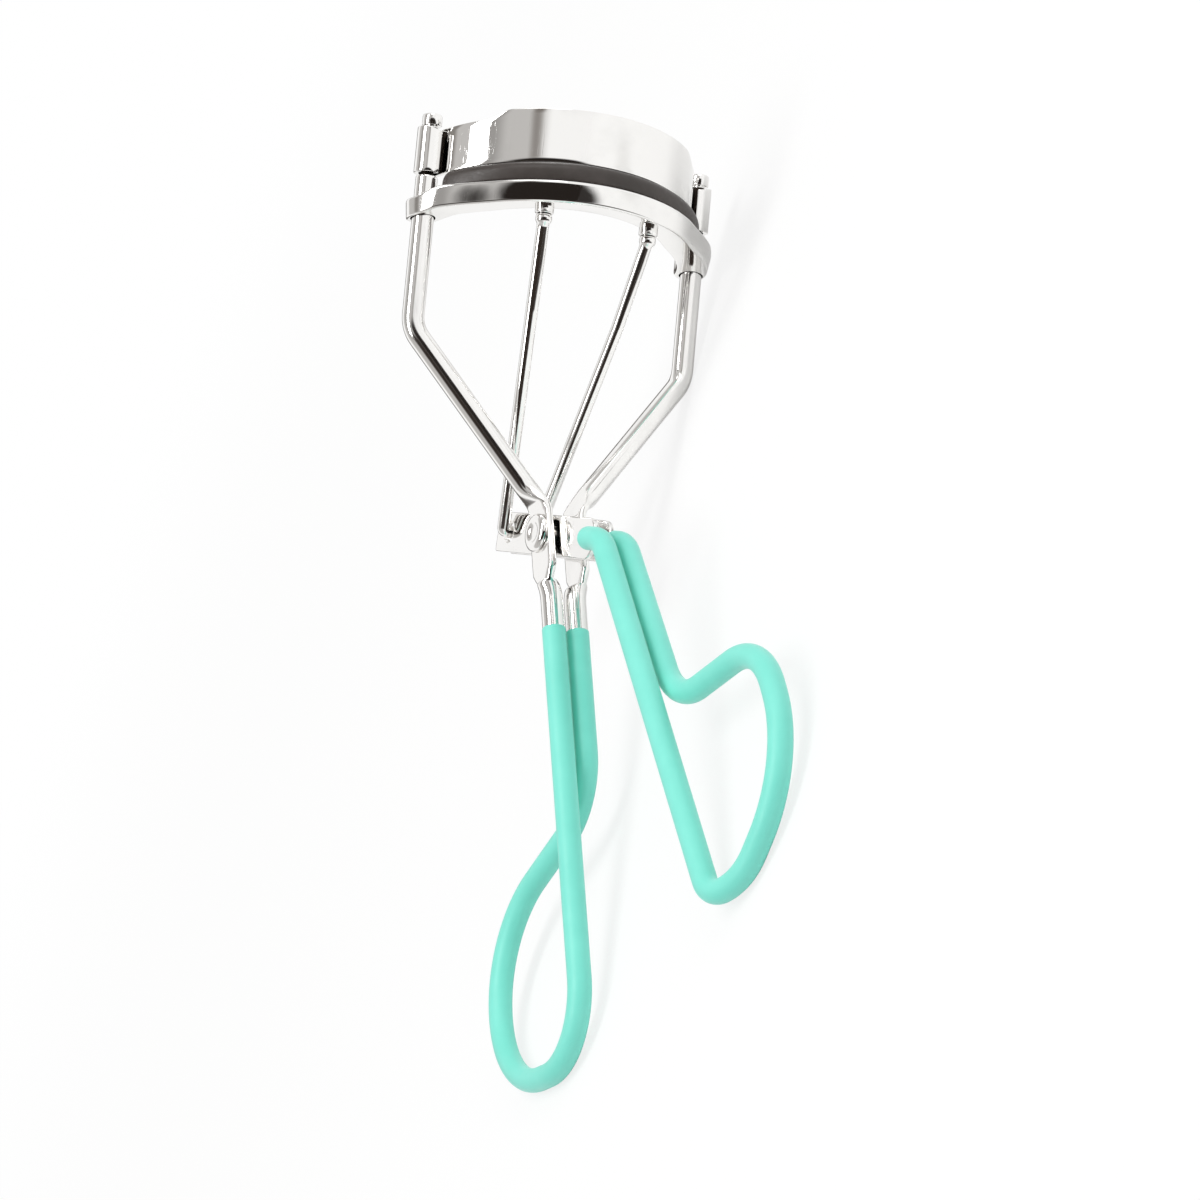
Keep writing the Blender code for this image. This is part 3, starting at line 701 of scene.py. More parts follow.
class CURLER_OT_frame_wire(bpy.types.Operator):
    """Model the two bare arms of the frame: guide rod, leg, coined pivot tab and handle rod"""

    bl_idname = "curler.frame_wire"
    bl_label = "Frame Wire"

    # Peened head from its tip down, as shares of its height and radius
    HEAD = ((0.0, 0.45), (0.01, 0.78), (0.04, 0.88), (0.09, 0.95), (0.16, 0.99), (0.24, 1.0), (0.93, 1.0),
            (1.0, 0.95))
    # Shoulder under the neck: mm down, share of the wire's radius
    SHOULDER = ((0.0, 0.86), (0.08, 0.96), (0.2, 1.0))
    # Where the neck ends above the shoulder, and where the plain rod starts below it
    NECK_END, ROD_START = 0.02 * MM, 0.4 * MM
    TAB_BEND, SPACING = 3.0 * MM, 0.7 * MM
    # Below the tab the rods draw together over a length, in steps
    DRAW_IN, DRAW_STEPS = 2.2 * MM, 22
    # Coining: fade in above the tab, step out below it, and where the width goes back to round
    COIN_IN, COIN_OUT = 2.4 * MM, 0.55 * MM
    NARROW_ABOVE, NARROW_BELOW = 1.6 * MM, 0.5 * MM
    # Above the tab's foot, from where the sections stand square to the handle
    STRAIGHT_FROM = 0.1 * MM
    COINED = 5.0  # squareness of the flat tab

    def head_circles(self, wire, side):
        """(point, radius) from the peened head over the neck to the full wire."""
        tip = Vector((side * wire.guide_x, wire.guide_top, 0.0))
        circles = [(tip - depth * wire.head_height * Y_AXIS, radius * wire.head_radius)
                   for depth, radius in self.HEAD]
        circles.append((tip - wire.head_height * Y_AXIS, wire.neck_radius))
        lower = [(wire.neck_shoulder + self.NECK_END, wire.neck_radius)]
        lower += [(wire.neck_shoulder - drop * MM, radius * wire.wire_radius)
                  for drop, radius in self.SHOULDER]
        return circles + [(Vector((side * wire.guide_x, height, 0.0)), radius) for height, radius in lower]

    def centre_line(self, tool, side):
        """The wire's middle from the guide rod to the thumb coat."""
        wire = tool.wire
        line = bent([Vector((side * wire.guide_x, wire.neck_shoulder - self.ROD_START, 0.0)),
                     Vector((side * wire.guide_x, 0.0, 0.0)),
                     tool.on_handle(side * wire.tab_x, wire.tab_top, 0.0),
                     tool.on_handle(side * wire.tab_x, wire.tab_bottom, 0.0)],
                    [wire.corner_radius, self.TAB_BEND])
        line = filled(line, self.SPACING)
        bend_end = wire.tab_bottom + self.DRAW_IN
        for i in range(1, self.DRAW_STEPS + 1):
            t = i / self.DRAW_STEPS
            across = mix(wire.tab_x, wire.handle_x, dome(t))
            line.append(tool.on_handle(side * across, mix(wire.tab_bottom, bend_end, t), 0.0))
        under_coat = wire.coat_start + ARM_IN_COAT
        return line + [tool.on_handle(side * wire.handle_x, mix(bend_end, under_coat, t), 0.0)
                       for t in (0.3, 0.6, 1.0)]

    def stations(self, tool, side):
        """(point, tangent, half thickness, half width, squareness) from the peened head to the coat."""
        wire = tool.wire
        rows = [(point, -Y_AXIS, radius, radius, ROUND) for point, radius in self.head_circles(wire, side)]
        line = self.centre_line(tool, side)
        for point, tangent in zip(line, tangents_of(line)):
            below = (point - tool.pivot).dot(tool.down)
            if below > wire.tab_bottom - self.STRAIGHT_FROM:
                tangent = tool.down
            coined = smooth_step(below, wire.tab_top - self.COIN_IN, wire.tab_top)
            flat = coined * (1.0 - dome((below - wire.tab_bottom) / self.COIN_OUT))
            spread = coined * (1.0 - smooth_step(below, wire.tab_bottom - self.NARROW_ABOVE,
                                                 wire.tab_bottom + self.NARROW_BELOW))
            rows.append((point, tangent, mix(wire.wire_radius, wire.tab_thick, flat),
                         mix(wire.wire_radius, wire.tab_wide, spread),
                         mix(ROUND, self.COINED, min(flat, spread))))
        return rows

    def execute(self, context):
        tool = ToolLayout(context.scene)
        for side, word in LEFT_RIGHT:
            rings = [wire_section(point, tangent, Z_AXIS, thick, wide, squareness, tool.sides)
                     for point, tangent, thick, wide, squareness in self.stations(tool, side)]
            arm = drawn_out(word + "_arm_wire", rings)
            fit(arm, chrome_finish("drawn_wire"), "frame", "chrome", word + "_frame_arm", smooth=32.0)
        return {"FINISHED"}


class CURLER_OT_upper_jaw(bpy.types.Operator):
    """Bow a sheet into the upper jaw and roll its ends round the guide rod necks"""

    bl_idname = "curler.upper_jaw"
    bl_label = "Upper Jaw"

    BOW_STEPS, ROLL_STEPS, ROWS = 72, 48, 10
    # Bearings between which the raised middle comes down to the barrels
    CREST_FALL = (radians(41.0), radians(51.0))
    # Notch where the bow meets the barrel
    NOTCH_LONG, NOTCH_DEEP = 1.1 * MM, 0.8 * MM
    # How far the ends roll, the share in which their edges turn level, and the dip of the rolled edge
    ROLL, LEVEL_BY = radians(284.0), 0.25
    DIP, DIP_FROM = 0.4 * MM, 0.68
    EDGE, EDGE_SEGMENTS, EDGE_ANGLE = 0.09 * MM, 3, radians(50.0)

    def half_plan(self, tool):
        """Columns of (lower, upper) points from the middle to the rolled edge on the right."""
        jaw, wire = tool.jaw, tool.wire
        columns = []
        for i in range(self.BOW_STEPS + 1):
            angle = tool.guide_angle * i / self.BOW_STEPS
            top = mix(jaw.crest, jaw.barrel_top, smooth_step(angle, *self.CREST_FALL))
            away = (tool.guide_angle - angle) * tool.jaw_bow
            notch = self.NOTCH_DEEP * (1.0 - dome(away / self.NOTCH_LONG))
            columns.append((tool.on_bow(tool.jaw_bow, angle, jaw.barrel_low),
                            tool.on_bow(tool.jaw_bow, angle, top - notch)))
        foot, head = (spot.y for spot in columns[-1])
        for i in range(1, self.ROLL_STEPS + 1):
            t = i / self.ROLL_STEPS
            around = 1.5 * pi - tool.guide_angle + self.ROLL * t
            spot = Vector((wire.guide_x + jaw.barrel_radius * cos(around), 0.0,
                           jaw.barrel_radius * sin(around)))
            ease = smooth_step(t, 0.0, self.LEVEL_BY)
            dip = self.DIP * smooth_step(t, self.DIP_FROM, 1.0)
            columns.append((spot + mix(foot, jaw.barrel_low, ease) * Y_AXIS,
                            spot + (mix(head, jaw.barrel_top, ease) - dip) * Y_AXIS))
        return columns

    def execute(self, context):
        tool = ToolLayout(context.scene)
        half = self.half_plan(tool)
        columns = [(on_side(low, -1.0), on_side(top, -1.0)) for low, top in half[:0:-1]] + half
        across = len(columns) - 1
        bpy.ops.object.select_all(action="DESELECT")
        bpy.ops.mesh.primitive_grid_add(x_subdivisions=across, y_subdivisions=self.ROWS, size=1.0)
        sheet = added("upper_jaw_sheet")
        for vertex in sheet.data.vertices:
            low, top = columns[round((vertex.co.x + 0.5) * across)]
            vertex.co = low.lerp(top, vertex.co.y + 0.5)
        bpy.ops.object.mode_set(mode="EDIT")
        close_up()
        thicken(sheet, tool.jaw.sheet)
        soften(sheet, self.EDGE, self.EDGE_SEGMENTS, self.EDGE_ANGLE)
        fit(sheet, chrome_finish("pressed_sheet"), "frame", "chrome", "upper_jaw", smooth=30.0)
        return {"FINISHED"}


class CURLER_OT_lower_jaw(bpy.types.Operator):
    """Sweep the cast lower jaw along its bow, with guide bosses, pad groove and ball sockets"""

    bl_idname = "curler.lower_jaw"
    bl_label = "Lower Jaw"

    # Corner radii of the bar's section, the most of an edge that one may take, and the steps round it
    BACK_FOOT, FRONT_FOOT, LIP, GROOVE = 0.5 * MM, 0.35 * MM, 0.4 * MM, 0.1 * MM
    MOST_OF_EDGE, CORNER_STEPS = 0.45, 6
    # What is left of the groove where it is filled
    FILLED_GROOVE = 0.02 * MM
    # Bearings between which the bar flares, comes down to the boss's height, and the groove runs out
    FLARE = (radians(44.0), radians(72.0))
    STOOP = (radians(62.0), radians(71.0))
    GROOVE_END = (PAD_END, radians(68.0))
    # Round end of a boss: its bearing, its steps, its least width and how much it slims
    END_SPAN, END_STEPS, END_WIDTH, END_SLIM = radians(7.0), 16, 0.03, 0.3
    BOW_STEPS = 66
    # Cup round a ball: its wall, its foot and top from the bar's underside, and its rim
    CUP_WALL, CUP_FOOT, CUP_TOP, CUP_RIM, CUP_FACETS = 0.12 * MM, 0.75 * MM, -0.5 * MM, 0.18 * MM, 48
    SOCKET_PLAY = 0.1 * MM

    def section(self, tool, filling):
        """(offset, height) points round the bar, its corners rounded and its groove filled by a share."""
        jaw = tool.jaw
        half, inset = jaw.bar_half, tool.jaw_bow - jaw.bar_radius
        back_lip, front_lip = inset - jaw.groove_half, inset + jaw.groove_half
        floor = mix(jaw.groove_floor, jaw.bar_top - self.FILLED_GROOVE, filling)
        low, top = jaw.bar_low, jaw.bar_top
        corners = [((-half, low), self.BACK_FOOT), ((half - jaw.bar_lean, low), self.FRONT_FOOT),
                   ((half, top), self.LIP), ((front_lip, top), self.GROOVE),
                   ((front_lip, floor), self.GROOVE), ((back_lip, floor), self.GROOVE),
                   ((back_lip, top), self.GROOVE), ((-half, top), self.LIP)]
        line = []
        for i, ((x, y), radius) in enumerate(corners):
            (xa, ya), (xb, yb) = corners[i - 1][0], corners[(i + 1) % len(corners)][0]
            spot = Vector((x, y))
            back_way, on_way = Vector((xa - x, ya - y)), Vector((xb - x, yb - y))
            start = spot + min(radius, self.MOST_OF_EDGE * back_way.length) * back_way.normalized()
            stop = spot + min(radius, self.MOST_OF_EDGE * on_way.length) * on_way.normalized()
            for j in range(self.CORNER_STEPS + 1):
                t = j / self.CORNER_STEPS
                line.append(start.lerp(spot, t).lerp(spot.lerp(stop, t), t))
        return line

    def ring(self, tool, angle):
        """The casting's section at a bearing of the bow, flaring into a round-ended boss at each guide."""
        jaw = tool.jaw
        away = abs(angle)
        flare, stoop = smooth_step(away, *self.FLARE), smooth_step(away, *self.STOOP)
        past = max(0.0, (away - tool.guide_angle) * tool.guide_bow / jaw.boss_radius)
        round_end = sqrt(max(0.0, 1.0 - past * past))
        middle = mix(jaw.bar_radius, tool.guide_bow, flare)
        spread = mix(1.0, jaw.boss_radius / jaw.bar_half, flare) * max(self.END_WIDTH, round_end)
        slim = 1.0 - self.END_SLIM * (1.0 - round_end) ** 2
        waist = 0.5 * (jaw.boss_low + jaw.boss_top)
        ring = []
        for spot in self.section(tool, smooth_step(away, *self.GROOVE_END)):
            up = (spot.y - jaw.bar_low) / (jaw.bar_top - jaw.bar_low)
            height = mix(spot.y, mix(jaw.boss_low, jaw.boss_top, up), stoop)
            ring.append(tool.on_bar(middle + spot.x * spread, angle, waist + (height - waist) * slim))
        return ring

    def execute(self, context):
        tool = ToolLayout(context.scene)
        jaw, ball = tool.jaw, tool.lever.ball_radius
        end = tool.guide_angle + jaw.boss_radius / tool.guide_bow
        shoulder = end - self.END_SPAN
        angles = [end - (end - shoulder) * (1.0 - cos(0.5 * pi * i / self.END_STEPS))
                  for i in range(self.END_STEPS)]
        angles += [shoulder * (1.0 - i / self.BOW_STEPS) for i in range(self.BOW_STEPS + 1)]
        angles = [-angle for angle in angles] + angles[-2::-1]
        casting = drawn_out("lower_jaw_casting", [self.ring(tool, angle) for angle in angles])
        for side, _ in LEFT_RIGHT:
            guide = Vector((side * tool.wire.guide_x, 0.0, 0.0))
            bore = post("bore", jaw.boss_bore, guide + (jaw.boss_low - MM) * Y_AXIS,
                        guide + (jaw.bar_top + MM) * Y_AXIS)
            boolean(casting, bore, "DIFFERENCE")
            cup = post("cup", ball + self.CUP_WALL, tool.under_bar(side, self.CUP_FOOT),
                       tool.under_bar(side, self.CUP_TOP), self.CUP_FACETS, self.CUP_RIM)
            boolean(casting, cup, "UNION")
            boolean(casting, bead("socket", ball + self.SOCKET_PLAY, tool.ball(side)), "DIFFERENCE")
        fit(casting, chrome_finish("cast_jaw"), "lower_jaw", "chrome", "lower_jaw", smooth=32.0)
        return {"FINISHED"}


class CURLER_OT_lash_pad(bpy.types.Operator):
    """Sweep the rubber pad along the lower jaw's groove"""

    bl_idname = "curler.lash_pad"
    bl_label = "Lash Pad"

    ROOT_PLAY, SEAT_GAP = 0.12 * MM, 0.08 * MM
    # Right side of the flange in mm: out from the root or in from the crown's side, up from the seat
    ROOT_EDGE = ((0.0, -0.05), (0.1, 0.0))
    FLANGE_EDGE = ((-0.12, 0.0), (-0.03, 0.06), (0.0, 0.2))
    # Crown: the share of the height where it starts, its fullness (1 is an ellipse) and its steps
    CROWN_FROM, CROWN_POWER, CROWN_STEPS = 0.42, 0.8, 24
    # Ends: the length that is rounded, and how slim and how low the last section is
    END_ROUND, END_SLIM, END_LOW = 1.2 * MM, 0.25, 0.5
    BOW_STEPS = 160

    def section(self, jaw, root):
        """(offset, height) points round the pad: root, flange and crown."""
        root_half, seat = jaw.groove_half - self.ROOT_PLAY, jaw.bar_top + self.SEAT_GAP
        flange = [(root_half + x * MM, seat + y * MM) for x, y in self.ROOT_EDGE]
        flange += [(jaw.pad_half + x * MM, seat + y * MM) for x, y in self.FLANGE_EDGE]
        shoulder = mix(seat, jaw.pad_top, self.CROWN_FROM)
        crown = []
        for i in range(self.CROWN_STEPS + 1):
            angle = pi * i / self.CROWN_STEPS
            aside = copysign(abs(cos(angle)) ** self.CROWN_POWER, cos(angle))
            crown.append((jaw.pad_half * aside, mix(shoulder, jaw.pad_top, sin(angle) ** self.CROWN_POWER)))
        left_flange = [(-x, y) for x, y in reversed(flange)]
        return [(-root_half, root), (root_half, root), *flange, *crown, *left_flange]

    def execute(self, context):
        tool = ToolLayout(context.scene)
        bow, root = tool.jaw_bow, tool.jaw.groove_floor + self.ROOT_PLAY
        section = self.section(tool.jaw, root)
        rings = []
        for i in range(self.BOW_STEPS + 1):
            angle = PAD_END * sin(0.5 * pi * mix(-1.0, 1.0, i / self.BOW_STEPS))
            inset = max(0.0, 1.0 - (PAD_END - abs(angle)) * bow / self.END_ROUND)
            scale = mix(self.END_SLIM, 1.0, sqrt(1.0 - inset * inset))
            full = mix(self.END_LOW, 1.0, scale)
            rings.append([tool.on_bar(bow + x * scale, angle, mix(root, y, full)) for x, y in section])
        pad = drawn_out("lash_pad_rubber", rings)
        fit(pad, pad_rubber_finish(), "lower_jaw", "pad_rubber", "lash_pad", smooth=50.0)
        return {"FINISHED"}


class CURLER_OT_push_rods(bpy.types.Operator):
    """Draw the two push rods, each with a ball under the jaw and a hook through the lever"""

    bl_idname = "curler.push_rods"
    bl_label = "Push Rods"

    # Right rod: the point of its slight bend, and how far across its hook bends and ends
    KINK = Vector((5.5 * MM, 3.4 * MM, 5.6 * MM))
    FOOT_X, TOE_X = 2.08 * MM, 0.4 * MM
    KINK_BEND, HOOK_BEND, BEND_STEP = 6.0 * MM, 0.5 * MM, radians(6.0)
    SPACING, FACETS = 0.9 * MM, 32
    BALL_TIP, BALL_STEPS = radians(6.0), 21
    # Waist below the ball: the gap before the first section, its depth, its middle and its end
    WAIST_GAP, WAIST, WAIST_MIDDLE, WAIST_END = 0.25 * MM, 0.06, 0.6 * MM, 1.6 * MM
    # Rounded toe: mm past its end, share of the rod's radius
    TOE = ((0.06, 0.97), (0.12, 0.86), (0.16, 0.6), (0.17, 0.2))

    def sections(self, tool):
        """Points and radii along the right rod, from its ball to the toe of its hook."""
        lever, centre = tool.lever, tool.ball(1.0)
        foot = Vector((self.FOOT_X, tool.hook.y, tool.hook.z))
        toe = Vector((self.TOE_X, tool.hook.y, tool.hook.z))
        line = bent([centre, self.KINK, foot, toe], [self.KINK_BEND, self.HOOK_BEND], self.BEND_STEP)
        line = filled(line, self.SPACING)
        down = (line[1] - centre).normalized()
        points, radii = [], []
        neck = pi - asin(lever.rod_radius / lever.ball_radius)
        for i in range(self.BALL_STEPS + 1):
            angle = mix(self.BALL_TIP, neck, i / self.BALL_STEPS)
            points.append(centre - lever.ball_radius * cos(angle) * down)
            radii.append(lever.ball_radius * sin(angle))
        neck_away = (points[-1] - centre).length
        for point in line[1:]:
            past = (point - centre).length - neck_away
            if past <= self.WAIST_GAP:
                continue
            slimmed = smooth_step(past, 0.0, self.WAIST_MIDDLE)
            back = smooth_step(past, self.WAIST_MIDDLE, self.WAIST_END)
            points.append(point)
            radii.append(lever.rod_radius * (1.0 - self.WAIST * slimmed + self.WAIST * back))
        points += [toe - along * MM * X_AXIS for along, _ in self.TOE]
        radii += [lever.rod_radius * scale for _, scale in self.TOE]
        return points, radii

    def execute(self, context):
        points, radii = self.sections(ToolLayout(context.scene))
        for side, word in LEFT_RIGHT:
            spots = [on_side(point, side) for point in points]
            rod = drawn_out(word + "_rod_wire", round_rings(spots, radii, self.FACETS))
            fit(rod, chrome_finish("drawn_wire"), "push_rods", "chrome", word + "_push_rod", smooth=40.0)
        return {"FINISHED"}


class CURLER_OT_lever_plates(bpy.types.Operator):
    """Coin the two lever plates and pierce them for the rivet and the push rods"""

    bl_idname = "curler.lever_plates"
    bl_label = "Lever Plates"

    # Sheared rear end: mm along, shares of the width and thickness
    TAIL = ((0.0, 0.90, 0.60), (0.04, 0.955, 0.82), (0.12, 0.985, 0.95), (0.25, 1.0, 1.0))
    BODY_STEPS = 12
    # Rounded front end: its length, its steps, its least width and how much it thins
    NOSE, NOSE_STEPS, NOSE_WIDTH, NOSE_THIN = 2.2 * MM, 24, 0.06, 0.25
    COINED = 7.0  # squareness of a plate
    # The piercing starts inside the plate, ends outside it, and leaves play round the rivet
    PIERCE_FROM, PIERCE_TO, RIVET_PLAY = 0.1 * MM, 2.0, 0.1 * MM

    def sections(self, lever):
        """(distance from the rivet, share of the width, share of the thickness) from rear to front."""
        rows = [(lever.plate_tail + along * MM, spread, thick) for along, spread, thick in self.TAIL]
        start, shoulder = rows[-1][0], lever.plate_end - self.NOSE
        rows += [(mix(start, shoulder, i / self.BODY_STEPS), 1.0, 1.0) for i in range(1, self.BODY_STEPS + 1)]
        for i in range(1, self.NOSE_STEPS + 1):
            t = sin(0.5 * pi * i / self.NOSE_STEPS)
            rows.append((mix(shoulder, lever.plate_end, t), max(self.NOSE_WIDTH, sqrt(1.0 - t * t)),
                         1.0 - self.NOSE_THIN * t ** 8))
        return rows

    def execute(self, context):
        tool = ToolLayout(context.scene)
        lever = tool.lever
        for side, word in LEFT_RIGHT:
            rings = [wire_section(tool.on_arm(side * lever.plate_x, along), tool.arm, tool.arm_wide,
                                  thick * lever.plate_thick, spread * lever.plate_wide, self.COINED,
                                  tool.sides)
                     for along, spread, thick in self.sections(lever)]
            plate = drawn_out(word + "_plate", rings)
            inner, outer = side * self.PIERCE_FROM * X_AXIS, side * self.PIERCE_TO * lever.plate_x * X_AXIS
            for name, radius, spot in (("rivet_hole", lever.rivet_radius + self.RIVET_PLAY, tool.pivot),
                                       ("hook_hole", lever.hook_hole, tool.hook)):
                boolean(plate, post(name, radius, spot + inner, spot + outer), "DIFFERENCE")
            fit(plate, chrome_finish("coined_plate"), "lever", "chrome", word + "_lever_plate", smooth=32.0)
        return {"FINISHED"}


class CURLER_OT_pivot_rivet(bpy.types.Operator):
    """Turn the pivot rivet with its two dimpled heads"""

    bl_idname = "curler.pivot_rivet"
    bl_label = "Pivot Rivet"

    TAB_GAP, DIMPLE_DEPTH, STEPS_ROUND = 0.04 * MM, 0.32 * MM, 72
    # Dimple: shares of its radius and depth
    DIMPLE = ((0.0, 1.0), (0.35, 1.0), (0.62, 0.93), (0.80, 0.62), (0.92, 0.22))
    # Land round the dimple: share of the dimple's radius, mm below the top
    LAND = ((1.05, 0.03), (1.22, 0.0))
    # Rim: share of the head's radius, mm below the top, and then mm above the tab
    RIM = ((0.80, 0.05), (0.90, 0.16), (0.965, 0.31), (1.0, 0.52))
    UNDERSIDE = ((0.985, 0.06), (0.95, 0.0))

    def execute(self, context):
        tool = ToolLayout(context.scene)
        lever, wire = tool.lever, tool.wire
        inner = wire.tab_x + wire.tab_thick + self.TAB_GAP
        outer = inner + lever.head_height
        dimple, head = lever.dimple_radius, lever.head_radius
        profile = [(across * dimple, outer - deep * self.DIMPLE_DEPTH) for across, deep in self.DIMPLE]
        profile += [(across * dimple, outer - down * MM) for across, down in self.LAND]
        profile += [(across * head, outer - down * MM) for across, down in self.RIM]
        profile += [(across * head, inner + up * MM) for across, up in self.UNDERSIDE]
        profile.append((lever.rivet_radius, inner))
        profile += [(radius, -x) for radius, x in reversed(profile)]
        rivet = turned("rivet_spool", profile, self.STEPS_ROUND)
        rivet.location = tool.pivot
        settle(rivet)
        fit(rivet, chrome_finish("drawn_wire"), "frame", "chrome", "pivot_rivet", smooth=50.0)
        return {"FINISHED"}


class CURLER_OT_handle_loops(bpy.types.Operator):
    """Bend the thumb and finger loops and dip them in their soft coat"""

    bl_idname = "curler.handle_loops"
    bl_label = "Handle Loops"

    SPACING = 1.2 * MM
    # Closer points at a coat's two ends: how many, and how far apart
    THUMB_ENDS, FINGER_ENDS = (8, 0.05 * MM), (14, 0.1 * MM)
    # Thumb coat's edge: what it stands above the bare wire, and the length in which it swells
    LIP_EDGE, LIP_LONG = 0.004 * MM, 0.16 * MM
    # Finger coat's nose: its least share of the radius, and its length
    NOSE_TIP, NOSE_LONG = 0.05, 1.25 * MM
    # Wire inside the coat: how far from the coat's ends it starts, and what it is thinner by
    THUMB_CORE_FROM, FINGER_CORE_FROM = ARM_IN_COAT + 0.1 * MM, 1.6 * MM
    CORE_THINNER, CORE_FACETS = 0.03 * MM, 24

    def run_in(self, line, steps, spacing):
        """Closer points on the first and last stretch of a line."""
        head = [line[0] + (line[1] - line[0]).normalized() * spacing * i for i in range(steps)]
        tail = [line[-1] + (line[-2] - line[-1]).normalized() * spacing * i for i in range(steps)]
        return head + line[1:-1] + tail[::-1]

    def reaches(self, line):
        """Each point's distance along a line from the line's nearer end."""
        total = sum((there - here).length for here, there in zip(line, line[1:]))
        reaches, run = [0.0], 0.0
        for here, there in zip(line, line[1:]):
            run += (there - here).length
            reaches.append(min(run, total - run))
        return reaches

    def thumb_lip(self, wire, reach):
        """The coat's radius by its thin edge round the bare rods."""
        return mix(wire.wire_radius + self.LIP_EDGE, wire.coat_radius, dome(reach / self.LIP_LONG))

    def finger_nose(self, wire, reach):
        """The coat's radius by its rounded end over the plates."""
        return wire.coat_radius * max(self.NOSE_TIP, dome(reach / self.NOSE_LONG))

    def loop(self, tool, word, body, line, end_radius, core_from):
        """One loop along a line: the coat with its two shaped ends, and the bare wire inside it."""
        wire = tool.wire
        radii = [end_radius(wire, reach) for reach in self.reaches(line)]
        coat = drawn_out(word + "_loop_coat", round_rings(line, radii, tool.sides))
        fit(coat, soft_coat_finish(), body, "soft_coat", word + "_grip", smooth=60.0)
        ends = line[0], line[-1]
        inside = [point for point in line if min((point - end).length for end in ends) > core_from]
        radii = [wire.wire_radius - self.CORE_THINNER] * len(inside)
        core = drawn_out(word + "_loop_core", round_rings(inside, radii, self.CORE_FACETS))
        fit(core, chrome_finish("drawn_wire"), body, "chrome", word + "_loop_wire")

    def execute(self, context):
        tool = ToolLayout(context.scene)
        wire, lever = tool.wire, tool.lever
        corners, radii = tool.bends(THUMB_BENDS)
        start, stop = (tool.on_handle(side * wire.handle_x, wire.coat_start, 0.0) for side, _ in LEFT_RIGHT)
        line = filled(bent([start, *corners, stop], radii), self.SPACING)
        self.loop(tool, "thumb", "frame", self.run_in(line, *self.THUMB_ENDS), self.thumb_lip,
                  self.THUMB_CORE_FROM)

        corners, radii = tool.bends(FINGER_BENDS)
        start, stop = (tool.on_arm(side * wire.handle_x, lever.coat_start) for side, _ in LEFT_RIGHT)
        left_knee, right_knee = (tool.on_arm(side * wire.handle_x, lever.knee) for side, _ in LEFT_RIGHT)
        line = filled(bent([start, left_knee, *corners, right_knee, stop],
                           [lever.knee_radius, *radii, lever.knee_radius]), self.SPACING)
        self.loop(tool, "finger", "lever", self.run_in(line, *self.FINGER_ENDS), self.finger_nose,
                  self.FINGER_CORE_FROM)
        return {"FINISHED"}


